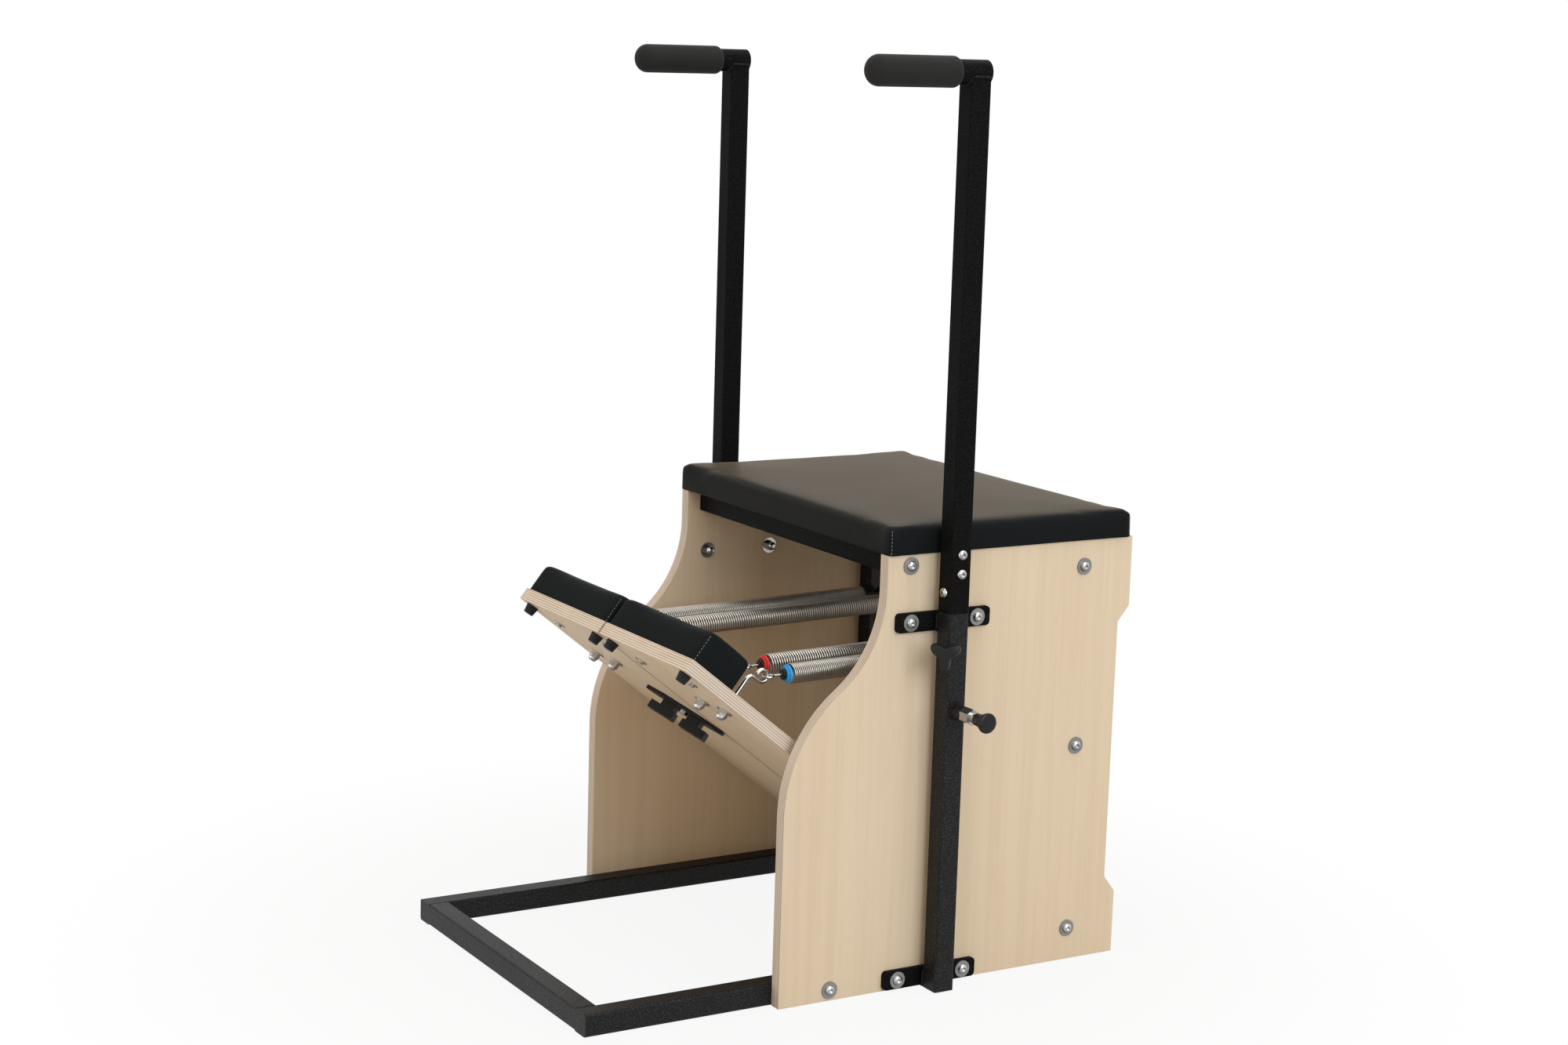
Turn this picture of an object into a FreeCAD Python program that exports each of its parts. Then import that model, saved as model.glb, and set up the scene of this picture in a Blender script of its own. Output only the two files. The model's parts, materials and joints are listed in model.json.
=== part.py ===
import FreeCAD, Part
import math
import os

from FreeCAD import Placement, Rotation, Vector

# A pilates chair with two sprung pedals and a pair of push handles.
# Millimetres. X runs across the chair, the pedals point along -Y and Z is up.
# The origin lies on the floor, under the middle of the chair's depth.

SIZES = {
    # Side panels, cut from plywood
    "panel_depth": 540,
    "panel_height": 590,
    "panel_half_width": 278,
    "ply": 18,
    "sweep_height": 290,
    "shoulder_drop": 45,
    "seat_setback": 145,
    "recess_depth": 18,
    "recess_low": 110,
    "recess_drop": 118,
    "recess_ramp": 22,
    "recess_round": 8,
    # Steel frame of square tube
    "front_reach": 271,
    "tube": 30,
    "tube_wall": 2,
    "tube_corner": 3,
    "seat_rail_inset": 35,
    "upright_setback": 460,
    "lower_rail_height": 45,
    "middle_rail_drop": 285,
    "upper_rail_drop": 36,
    "tube_plug_head": 3,
    "tube_plug_depth": 12,
    # Seat
    "seat_board": 12,
    "seat_board_inset": 6,
    "seat_cushion_height": 28,
    "seat_overhang": 7,
    "seat_front_overhang": 1,
    "seat_rear_inset": 5,
    "seat_corner": 14,
    "cushion_draw": 3,
    "seat_crown_reach": 45,
    # Bolts through the panels
    "bolt_diameter": 8,
    "bolt_head_diameter": 14,
    "bolt_head_height": 4.4,
    "bolt_hole_clearance": 0.4,
    "bolt_stub": 8,
    "socket_width": 5,
    "socket_depth": 2.6,
    "washer_diameter": 23,
    "washer_thickness": 2,
    "cap_nut_width": 13,
    "cap_nut_height": 7,
    "cap_nut_dome": 5,
    "base_bolt_setback": 77,
    # Sleeves and their brackets
    "post_setback": 231,
    "bracket_plate": 6,
    "bracket_spacer": 6,
    "bracket_height": 26,
    "bracket_length": 146,
    "bracket_bolt_gap": 104,
    "bracket_corner": 6,
    "upper_bracket_drop": 89.5,
    "lower_bracket_height": 15,
    "sleeve_lift": 2,
    "sleeve_drop": 75,
    # Push handles
    "insert_clearance": 0.3,
    "insert_depth": 395,
    "insert_rise": 97,
    "insert_wall": 2,
    "insert_corner": 2,
    "bar_height": 1208.5,
    "bar_diameter": 32,
    "bar_wall": 2.5,
    "bar_overhang": 1,
    "grip_diameter": 40,
    "grip_gap": 13.5,
    "grip_length": 133,
    "grip_end_wall": 12,
    "grip_round": 17,
    "grip_heel_round": 3,
    "grip_clearance": 0.1,
    "post_top_drop": 5.5,
    "side_screw_upper_rise": 78,
    "side_screw_lower_rise": 52.5,
    "front_screw_rise": 26.5,
    # Spring plungers on the sleeves
    "plunger_drop": 129,
    "plunger_boss_diameter": 20,
    "plunger_boss_length": 22,
    "collar_width": 19,
    "collar_length": 18,
    "plunger_pin_diameter": 8,
    "plunger_pin_clearance": 0.1,
    "plunger_neck_diameter": 13,
    "plunger_neck_length": 14,
    "plunger_knob_diameter": 27,
    "plunger_knob_length": 21,
    "plunger_knob_round": 7,
    # Clamp knobs at the corners of the sleeves
    "clamp_drop": 48,
    "clamp_boss_diameter": 18,
    "clamp_boss_length": 10,
    "clamp_boss_root": 8,
    "clamp_stud_diameter": 9,
    "clamp_stud_clearance": 0.2,
    "clamp_stud_inset": 2.5,
    "clamp_knob_gap": 3,
    "clamp_knob_length": 17,
    "clamp_knob_reach": 21,
    "clamp_lobe_diameter": 15,
    # Pedals, drawn flat on their axle and turned up to rest
    "axle_block_gap": 38,
    "axle_height": 52,
    "axle_diameter": 16,
    "axle_clearance": 0.05,
    "axle_end_gap": 2,
    "axle_block_radius": 18,
    "pedal_length": 658,
    "pedal_angle": 38.66,
    "pedal_side_gap": 16.5,
    "pedal_gap": 6,
    "pedal_rear_gap": 25,
    "pad_length": 78,
    "pad_height": 45,
    "pad_side_inset": 1,
    "pad_corner": 6,
    "pad_draw": 2,
    "pad_crown_reach": 9,
    "bumper_height": 12.4,
    "bumper_diameter": 18,
    "bumper_end_diameter": 14,
    "bumper_setback": 14,
    "bumper_side_inset": 20,
    "hinge_barrel_diameter": 26,
    "hinge_barrel_length": 46,
    "hinge_side_inset": 38,
    "strap_length": 70,
    "pad_screw_setback": 48,
    "pad_screw_spacing": 140,
    "pad_screw_head": 10,
    "pad_screw_rise": 2.5,
    "pad_washer_diameter": 18,
    "pad_washer_thickness": 1.5,
    # Eye bolts that carry the springs
    "spring_side_inset": 89.5,
    "spring_spacing": 60,
    "eye_setback": 118,
    "eye_wire": 5.5,
    "eye_radius": 8,
    "eye_rise": 57.5,
    "eye_reach": 17,
    "eye_bend": 8,
    "eye_hole_clearance": 0.3,
    # Springs
    "anchor_drop": 160,
    "coil_diameter": 27.5,
    "coil_wire": 2.5,
    "coil_lead": 5,
    "hook_wire": 3.5,
    "hook_radius": 7,
    "hook_clearance": 0.4,
    "front_plug_gap": 26,
    "front_plug_length": 16,
    "rear_plug_gap": 22,
    "rear_plug_length": 16,
    "plug_diameter": 29,
    # Racks that the springs hang from
    "rack_width": 24,
    "rack_thickness": 10,
    "peg_diameter": 10,
    "peg_pitch": 40,
    "peg_reach": 42,
    "peg_cap_diameter": 16,
    "peg_cap_length": 3,
    # Latch that ties the two pedals together
    "latch_setback": 214,
    "latch_side_inset": 52,
    "latch_length": 134,
    "latch_width": 34,
    "latch_tip_width": 8,
    "latch_plate": 5,
    "latch_angle": 36,
    "latch_body_width": 16,
    "latch_neck_inner": 11,
    "latch_neck_outer": 33,
    "latch_neck_height": 9,
    "latch_foot_inner": 7,
    "latch_foot_outer": 48,
    "latch_foot_height": 12,
    "latch_screw_diameter": 8,
    "latch_screw_clearance": 0.1,
    "latch_screw_head": 14,
    "latch_screw_rise": 4,
    # How far a cutting shape runs past what it cuts
    "overrun": 5,
}

SIDES = {"left": -1, "right": 1}
COIL_TURNS = 25
RACK_PEG_STEPS = (-2, -1, 0, 1, 2)
LOWER_ARC_SHARE = 0.55
CUSHION_HEIGHT_SHARES = (0, 0.3, 0.6, 0.8, 0.92, 1)
CUSHION_DRAW_SHARES = (1, 0.2, 0, 0.6, 1.8, 1.8)
CUSHION_CROWN_SHARES = (0, 0, 0, 0, 0.12, 1)
BOLT_DOME_SHARE = 0.9
EYE_TURN = 285
GAP_STEPS = 6
GAP_WINDOW = 120
DIAGONAL_SHARE = math.sqrt(0.5)
TOLERANCE = 1e-6

doc = FreeCAD.newDocument("pilates_chair")
sheet = doc.addObject("Spreadsheet::Sheet", "Sizes")
for row, (alias, number) in enumerate(SIZES.items(), 1):
    sheet.set(f"A{row}", alias)
    sheet.set(f"B{row}", str(number))
    sheet.setAlias(f"B{row}", alias)
doc.recompute()


class Size:
    """A number together with the sheet expression that gives it."""

    def __init__(self, number, text):
        self.number = float(number)
        self.text = text

    def __float__(self):
        return self.number

    def __neg__(self):
        return Size(-self.number, f"(-{self.text})")

    def __add__(self, other):
        return Size(self.number + float(other), f"({self.text} + {sized(other).text})")

    def __radd__(self, other):
        return sized(other) + self

    def __sub__(self, other):
        return self + -sized(other)

    def __rsub__(self, other):
        return sized(other) + -self

    def __mul__(self, other):
        return Size(self.number * float(other), f"({self.text} * {sized(other).text})")

    def __rmul__(self, other):
        return sized(other) * self

    def __truediv__(self, other):
        return Size(self.number / float(other), f"({self.text} / {sized(other).text})")


def sized(value):
    """A plain number as a Size, and a Size as it is."""
    return value if isinstance(value, Size) else Size(value, f"({float(value)})")


class Cells:
    """The sheet's cells, read by name."""

    def __getattr__(self, alias):
        return Size(sheet.get(alias), "Sizes." + alias)


cell = Cells()
nodes = []


def node(label, item):
    """Names a finished sub-part and lists it for export."""
    item.Label = label
    nodes.append(item)
    return item


# Building blocks bound to the sheet


def place(item, x, y, z):
    """Binds a piece's position to the sheet."""
    for axis, value in zip("xyz", (x, y, z)):
        item.setExpression("Placement.Base." + axis, sized(value).text)


def box(name, x, y, z):
    """A box between two places on each axis."""
    made = doc.addObject("Part::Box", name)
    for size, (low, high) in zip(("Length", "Width", "Height"), (x, y, z)):
        made.setExpression(size, (sized(high) - low).text)
    place(made, x[0], y[0], z[0])
    return made


ALONG = {
    "x": Rotation(Vector(0, 1, 0), 90),
    "y": Rotation(Vector(1, 0, 0), -90),
    "z": Rotation(),
}


def rod(name, turn, start, length, diameter):
    """A cylinder that starts at a point and runs the way its turn points."""
    made = doc.addObject("Part::Cylinder", name)
    made.Placement = Placement(Vector(), turn)
    made.setExpression("Radius", (sized(diameter) / 2).text)
    made.setExpression("Height", sized(length).text)
    place(made, *start)
    return made


def cone(name, turn, start, length, first, last):
    """A round piece that tapers from one diameter to another."""
    made = doc.addObject("Part::Cone", name)
    made.Placement = Placement(Vector(), turn)
    made.setExpression("Radius1", (sized(first) / 2).text)
    made.setExpression("Radius2", (sized(last) / 2).text)
    made.setExpression("Height", sized(length).text)
    place(made, *start)
    return made


def fuse(name, items):
    """Overlapping pieces joined into one solid."""
    made = doc.addObject("Part::MultiFuse", name)
    made.Shapes = items
    return made


def group(name, items):
    """Several separate solids as one sub-part."""
    made = doc.addObject("Part::Compound", name)
    made.Links = items
    return made


def cut(name, base, tools):
    """A piece less its holes."""
    made = doc.addObject("Part::Cut", name)
    made.Base = base
    made.Tool = tools[0] if len(tools) == 1 else group(name + "_tools", tools)
    return made


def feature(name, shape, placement):
    """A piece whose shape is worked out from the sheet's numbers."""
    made = doc.addObject("Part::Feature", name)
    made.Shape = shape
    made.Placement = placement
    return made


def rounded(item, along, radius):
    """A box with its four edges along one axis rounded."""
    doc.recompute()
    axis = "xyz".index(along)
    made = doc.addObject("Part::Fillet", item.Name + "_rounded")
    made.Base = item
    edges = []
    for index, edge in enumerate(item.Shape.Edges, 1):
        run = edge.Vertexes[1].Point - edge.Vertexes[0].Point
        if abs(run[axis]) > TOLERANCE:
            edges.append((index, float(radius), float(radius)))
    made.Edges = edges
    return made


def span(middle, width):
    """The two ends of a width about its middle."""
    return (middle - sized(width) / 2, middle + sized(width) / 2)


def across(side, low, high):
    """A stretch of X on the right of the chair, or its mirror on the left."""
    return (sized(low), sized(high)) if side > 0 else (-sized(high), -sized(low))


def square_tube(name, x, y, z, along, wall, corner, closed_low=False):
    """A square tube with rounded corners, open at the ends of its axis."""
    bore = []
    for axis, (low, high) in zip("xyz", (x, y, z)):
        if axis != along:
            bore.append((low + wall, high - wall))
        elif closed_low:
            bore.append((low + wall, high + cell.overrun))
        else:
            bore.append((low - cell.overrun, high + cell.overrun))
    skin = rounded(box(name + "_skin", x, y, z), along, corner)
    return cut(name, skin, [box(name + "_bore", *bore)])


# Outlines of lines and arcs, and the solids made from them


def outline(corners):
    """Lines and arcs round a closed outline of (point, corner radius) pairs."""
    bends = []
    for index, (point, radius) in enumerate(corners):
        here = Vector(*point)
        before = (Vector(*corners[index - 1][0]) - here).normalize()
        after = (Vector(*corners[(index + 1) % len(corners)][0]) - here).normalize()
        half = before.getAngle(after) / 2
        reach = radius / math.tan(half)
        inward = (before + after).normalize() if radius else Vector()
        middle = here + inward * (radius / math.sin(half) - radius)
        bends.append((here + before * reach, middle, here + after * reach, radius))
    curves = []
    for index, (start, middle, end, radius) in enumerate(bends):
        if radius:
            curves.append(Part.Arc(start, middle, end))
        following = bends[(index + 1) % len(bends)][0]
        if not end.isEqual(following, TOLERANCE):
            curves.append(Part.LineSegment(end, following))
    return curves


def closed_wire(corners):
    """The wire of an outline."""
    return Part.Wire([curve.toShape() for curve in outline(corners)])


def turned(corners):
    """A solid turned about Z from an outline of (radius, height) corners."""
    raised = [((radius, 0, height), bend) for (radius, height), bend in corners]
    return Part.Face(closed_wire(raised)).revolve(Vector(), Vector(0, 0, 1), 360)


def disc(diameter, height):
    """A round solid that stands on the origin."""
    return Part.makeCylinder(float(diameter) / 2, float(height))


def prism(width, height):
    """A hexagonal solid across its flats that stands on the origin."""
    corner = float(width) / math.sqrt(3)
    turns = [math.radians(60 * step) for step in range(7)]
    points = [Vector(corner * math.cos(turn), corner * math.sin(turn)) for turn in turns]
    return Part.Face(Part.makePolygon(points)).extrude(Vector(0, 0, float(height)))


def moved(shape, turn, *place_at):
    """A copy of a shape, turned and then moved."""
    copy = shape.copy()
    copy.Placement = Placement(Vector(*(float(value) for value in place_at)), turn)
    return copy


def cushion(x, y, z, corner, draw, crown_reach):
    """A stuffed block: sides drawn in at the seams and a crowned top."""
    wires = []
    height = float(z[1] - z[0])
    for level, drawn, crowned in zip(CUSHION_HEIGHT_SHARES, CUSHION_DRAW_SHARES, CUSHION_CROWN_SHARES):
        inset = float(draw) * drawn + float(crown_reach) * crowned
        left, right = float(x[0]) + inset, float(x[1]) - inset
        front, rear = float(y[0]) + inset, float(y[1]) - inset
        top = float(z[0]) + height * level
        places = ((left, front), (right, front), (right, rear), (left, rear))
        wires.append(closed_wire([((*spot, top), float(corner)) for spot in places]))
    return Part.makeLoft(wires, True, True)


# Places that many pieces share

panel_front = (cell.front_reach - cell.panel_depth) / 2
panel_rear = panel_front + cell.panel_depth
base_front = panel_front - cell.front_reach
inner_face = cell.panel_half_width - cell.ply
tube_inner = inner_face - cell.tube
pedal_side = inner_face - cell.pedal_side_gap
spring_centre = pedal_side - cell.spring_side_inset
seat_rail_y = panel_front + cell.seat_setback + cell.seat_rail_inset
seat_rail_z = cell.panel_height - cell.tube / 2
upright_y = panel_front + cell.upright_setback
post_y = panel_front + cell.post_setback
post_inner = cell.panel_half_width + cell.bracket_plate + cell.bracket_spacer
post_x = post_inner + cell.tube / 2
axle_y = upright_y - cell.tube / 2 - cell.axle_block_gap - cell.axle_block_radius
anchor_y = upright_y - cell.tube / 2 - cell.rack_thickness / 2
anchor_z = cell.panel_height - cell.anchor_drop
middle_rail_z = cell.panel_height - cell.middle_rail_drop
upper_rail_z = cell.panel_height - cell.upper_rail_drop
rail_heights = (cell.lower_rail_height, middle_rail_z, upper_rail_z)
upper_bracket_z = cell.panel_height - cell.upper_bracket_drop
sleeve_top = cell.panel_height - cell.sleeve_drop
plunger_z = sleeve_top - cell.plunger_drop
clamp_z = sleeve_top - cell.clamp_drop
OUTWARD = {-1: Rotation(Vector(0, 1, 0), -90), 1: Rotation(Vector(0, 1, 0), 90)}
FORWARD = Rotation(Vector(1, 0, 0), 90)
DOWN = Rotation(Vector(1, 0, 0), 180)


# Bolts and their holes: place on the panel, seat and length inside the seat

panel_grip = cell.ply + cell.tube_wall + cell.bolt_stub
plate_seat = cell.panel_half_width + cell.bracket_plate
BOLTS = [(seat_rail_y, seat_rail_z, cell.panel_half_width, panel_grip)]
for bolt_height in rail_heights:
    BOLTS.append((upright_y, bolt_height, cell.panel_half_width, panel_grip))
base_bolt_y = panel_front + cell.base_bolt_setback
BOLTS.append((base_bolt_y, cell.tube / 2, cell.panel_half_width, panel_grip))
CAP_BOLT_PLACES = []
for bolt_y in span(post_y, cell.bracket_bolt_gap):
    through = cell.bracket_plate + cell.ply + cell.washer_thickness
    BOLTS.append((bolt_y, upper_bracket_z, plate_seat, through))
    CAP_BOLT_PLACES.append((bolt_y, upper_bracket_z))
    BOLTS.append((bolt_y, cell.lower_bracket_height, plate_seat, cell.bracket_plate + panel_grip))


def bolt_holes(name, side):
    """One rod for each bolt of a side, to cut its hole."""
    rods = []
    length = plate_seat - inner_face + cell.tube / 2 + cell.overrun
    start = inner_face - cell.tube / 2
    for index, (y, z, seat, grip) in enumerate(BOLTS):
        made = rod(
            f"{name}_{index}",
            OUTWARD[side],
            (start * side, y, z),
            length,
            cell.bolt_diameter + cell.bolt_hole_clearance,
        )
        rods.append(made)
    return rods


def bolt_shape(grip):
    """A button head bolt with a hexagon socket, seated on the origin."""
    radius = float(cell.bolt_head_diameter) / 2
    height = float(cell.bolt_head_height)
    dome = height * BOLT_DOME_SHARE
    head = turned([((0, 0), 0), ((radius, 0), 0), ((radius, height), dome), ((0, height), 0)])
    floor = height - float(cell.socket_depth)
    socket = moved(prism(cell.socket_width, cell.socket_depth + cell.overrun), Rotation(), 0, 0, floor)
    shank = moved(disc(cell.bolt_diameter, grip), DOWN, 0, 0, 0)
    return head.cut(socket).fuse(shank)


def ring(diameter, bore, thickness):
    """A washer that lies on the origin."""
    return disc(diameter, thickness).cut(disc(bore, thickness))


def cap_nut():
    """A hexagon nut with a domed cap that stands on the origin."""
    dome_radius = float(cell.cap_nut_width) / 2
    low = float(cell.cap_nut_height)
    high = low + float(cell.cap_nut_dome)
    bend = float(cell.cap_nut_dome) * BOLT_DOME_SHARE
    dome = turned([((0, low), 0), ((dome_radius, low), 0), ((dome_radius, high), bend), ((0, high), 0)])
    return prism(cell.cap_nut_width, cell.cap_nut_height).fuse(dome)


# Side panels


def panel_corners():
    """The panel's outline: a front edge that sweeps back to the seat and a shallow recess behind."""
    front, rear = float(panel_front), float(panel_rear)
    setback = float(cell.seat_setback)
    high = float(cell.panel_height - cell.shoulder_drop)
    low = high - float(cell.sweep_height)
    slope = setback / (high - low)
    both = (setback**2 + (high - low) ** 2) / (2 * setback)
    lower = both * LOWER_ARC_SHARE
    upper = both - lower
    top = float(cell.panel_height)
    back = rear - float(cell.recess_depth)
    ramp, bend = float(cell.recess_ramp), float(cell.recess_round)
    recess_low = float(cell.recess_low)
    recess_high = float(cell.panel_height - cell.recess_drop)
    return [
        ((front, 0), 0),
        ((front, low + lower * slope), lower),
        ((front + setback, high - upper * slope), upper),
        ((front + setback, top), 0),
        ((rear, top), 0),
        ((rear, recess_high + ramp), bend),
        ((back, recess_high), bend),
        ((back, recess_low), bend),
        ((rear, recess_low - ramp), bend),
        ((rear, 0), 0),
    ]


for name, side in SIDES.items():
    blank = doc.addObject("PartDesign::Body", f"panel_{name}_blank")
    plane = [item for item in blank.Origin.OriginFeatures if item.Role == "YZ_Plane"][0]
    sketch = blank.newObject("Sketcher::SketchObject", f"panel_{name}_outline")
    sketch.AttachmentSupport = [(plane, "")]
    sketch.MapMode = "FlatFace"
    sketch.addGeometry(outline(panel_corners()), False)
    panel_low = across(side, inner_face, cell.panel_half_width)[0]
    sketch.setExpression("AttachmentOffset.Base.z", panel_low.text)
    pad = blank.newObject("PartDesign::Pad", f"panel_{name}_pad")
    pad.Profile = sketch
    pad.setExpression("Length", cell.ply.text)
    node(f"side_panel_{name}", cut(f"panel_{name}", blank, bolt_holes(f"panel_{name}_hole", side)))


# Steel frame

base_rear = upright_y + cell.tube / 2
front_tube = square_tube(
    "front_tube",
    (-tube_inner, tube_inner),
    (base_front, base_front + cell.tube),
    (sized(0), cell.tube),
    "x",
    cell.tube_wall,
    cell.tube_corner,
)
node("base_front_tube", front_tube)
plugs = []
uprights = []
blocks = []
for name, side in SIDES.items():
    tube_x = across(side, tube_inner, inner_face)
    base_tube = square_tube(
        f"base_{name}",
        tube_x,
        (base_front, base_rear),
        (sized(0), cell.tube),
        "y",
        cell.tube_wall,
        cell.tube_corner,
        closed_low=True,
    )
    holes = bolt_holes(f"base_{name}_hole", side)
    node(f"base_side_tube_{name}", cut(f"base_{name}_drilled", base_tube, holes))
    head_y = (base_rear, base_rear + cell.tube_plug_head)
    head = box(f"plug_{name}_head", tube_x, head_y, (sized(0), cell.tube))
    stem_x = (tube_x[0] + cell.tube_wall, tube_x[1] - cell.tube_wall)
    stem_z = (cell.tube_wall, cell.tube - cell.tube_wall)
    stem = box(f"plug_{name}_stem", stem_x, (base_rear - cell.tube_plug_depth, base_rear), stem_z)
    plugs.append(fuse(f"plug_{name}", [head, stem]))
    upright = square_tube(
        f"upright_{name}",
        tube_x,
        span(upright_y, cell.tube),
        (cell.tube, cell.panel_height),
        "z",
        cell.tube_wall,
        cell.tube_corner,
    )
    uprights.append(cut(f"upright_{name}_drilled", upright, bolt_holes(f"upright_{name}_hole", side)))
    foot_y = span(axle_y, cell.axle_block_radius * 2)
    foot = box(f"block_{name}_foot", tube_x, foot_y, (cell.tube, cell.axle_height))
    start = (tube_x[0], axle_y, cell.axle_height)
    cheek = rod(f"block_{name}_cheek", ALONG["x"], start, cell.tube, cell.axle_block_radius * 2)
    bore_start = (tube_x[0] - cell.overrun, axle_y, cell.axle_height)
    bore_length = cell.tube + cell.overrun * 2
    bore = rod(
        f"block_{name}_bore",
        ALONG["x"],
        bore_start,
        bore_length,
        cell.axle_diameter + cell.axle_clearance * 2,
    )
    blocks.append(cut(f"block_{name}", fuse(f"block_{name}_blank", [foot, cheek]), [bore]))
node("tube_plugs", group("plugs", plugs))
node("rear_uprights", group("uprights", uprights))
node("axle_blocks", group("blocks", blocks))

seat_rail = square_tube(
    "rail_seat",
    (-inner_face, inner_face),
    span(seat_rail_y, cell.tube),
    span(seat_rail_z, cell.tube),
    "x",
    cell.tube_wall,
    cell.tube_corner,
)
node("seat_rail", seat_rail)
rails = []
for index, height in enumerate(rail_heights):
    rail = square_tube(
        f"rail_{index}",
        (-tube_inner, tube_inner),
        span(upright_y, cell.tube),
        span(height, cell.tube),
        "x",
        cell.tube_wall,
        cell.tube_corner,
    )
    rails.append(rail)
node("rear_rails", group("rails", rails))

axle_half = inner_face - cell.axle_end_gap
axle = rod("axle", ALONG["x"], (-axle_half, axle_y, cell.axle_height), axle_half * 2, cell.axle_diameter)
node("pedal_axle", axle)


# Racks of pegs for the springs

for name, side in SIDES.items():
    low, high = across(side, *span(spring_centre, cell.rack_width))
    bar_z = (middle_rail_z - cell.tube / 2, upper_rail_z + cell.tube / 2)
    pieces = [box(f"rack_{name}_bar", (low, high), span(anchor_y, cell.rack_thickness), bar_z)]
    peg_low, peg_high = across(side, *span(spring_centre, cell.peg_reach * 2))
    for step in RACK_PEG_STEPS:
        height = anchor_z + cell.peg_pitch * step
        tag = f"rack_{name}_{RACK_PEG_STEPS.index(step)}"
        start = (peg_low, anchor_y, height)
        pieces.append(rod(tag + "_peg", ALONG["x"], start, cell.peg_reach * 2, cell.peg_diameter))
        for end, start in (("low", peg_low), ("high", peg_high - cell.peg_cap_length)):
            spot = (start, anchor_y, height)
            pieces.append(rod(f"{tag}_{end}", ALONG["x"], spot, cell.peg_cap_length, cell.peg_cap_diameter))
    node(f"spring_rack_{name}", fuse(f"rack_{name}", pieces))


# Seat

seat_half = cell.panel_half_width + cell.seat_overhang
seat_y = (
    panel_front + cell.seat_setback - cell.seat_front_overhang,
    panel_rear - cell.seat_rear_inset,
)
board_half = seat_half - cell.seat_board_inset
board_y = (seat_y[0] + cell.seat_board_inset, seat_y[1] - cell.seat_board_inset)
board_z = (cell.panel_height, cell.panel_height + cell.seat_board)
plate = box("seat_plate", (-board_half, board_half), board_y, board_z)
node("seat_board", rounded(plate, "z", cell.seat_corner / 2))
cushion_z = (board_z[1], board_z[1] + cell.seat_cushion_height)
seat_shape = cushion(
    (-seat_half, seat_half),
    seat_y,
    cushion_z,
    cell.seat_corner,
    cell.cushion_draw,
    cell.seat_crown_reach,
)
node("seat_cushion", feature("seat_stuffing", seat_shape, Placement()))


# Bolts, washers and cap nuts through the panels

bolts = []
washers = []
nuts = []
washer_bore = cell.bolt_diameter + cell.bolt_hole_clearance
for side in SIDES.values():
    for y, z, seat, grip in BOLTS:
        lift = cell.washer_thickness
        bolts.append(moved(bolt_shape(grip + lift), OUTWARD[side], (seat + lift) * side, y, z))
        flat = ring(cell.washer_diameter, washer_bore, cell.washer_thickness)
        washers.append(moved(flat, OUTWARD[side], seat * side, y, z))
    for y, z in CAP_BOLT_PLACES:
        flat = ring(cell.washer_diameter, washer_bore, cell.washer_thickness)
        nuts.append(moved(flat, OUTWARD[-side], inner_face * side, y, z))
        nuts.append(moved(cap_nut(), OUTWARD[-side], (inner_face - cell.washer_thickness) * side, y, z))
node("frame_bolts", feature("bolts", Part.makeCompound(bolts), Placement()))
node("frame_washers", feature("washers", Part.makeCompound(washers), Placement()))
node("cap_nuts", feature("nuts", Part.makeCompound(nuts), Placement()))


# Sleeves on the panels, with their brackets, plungers and clamp knobs

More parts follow.
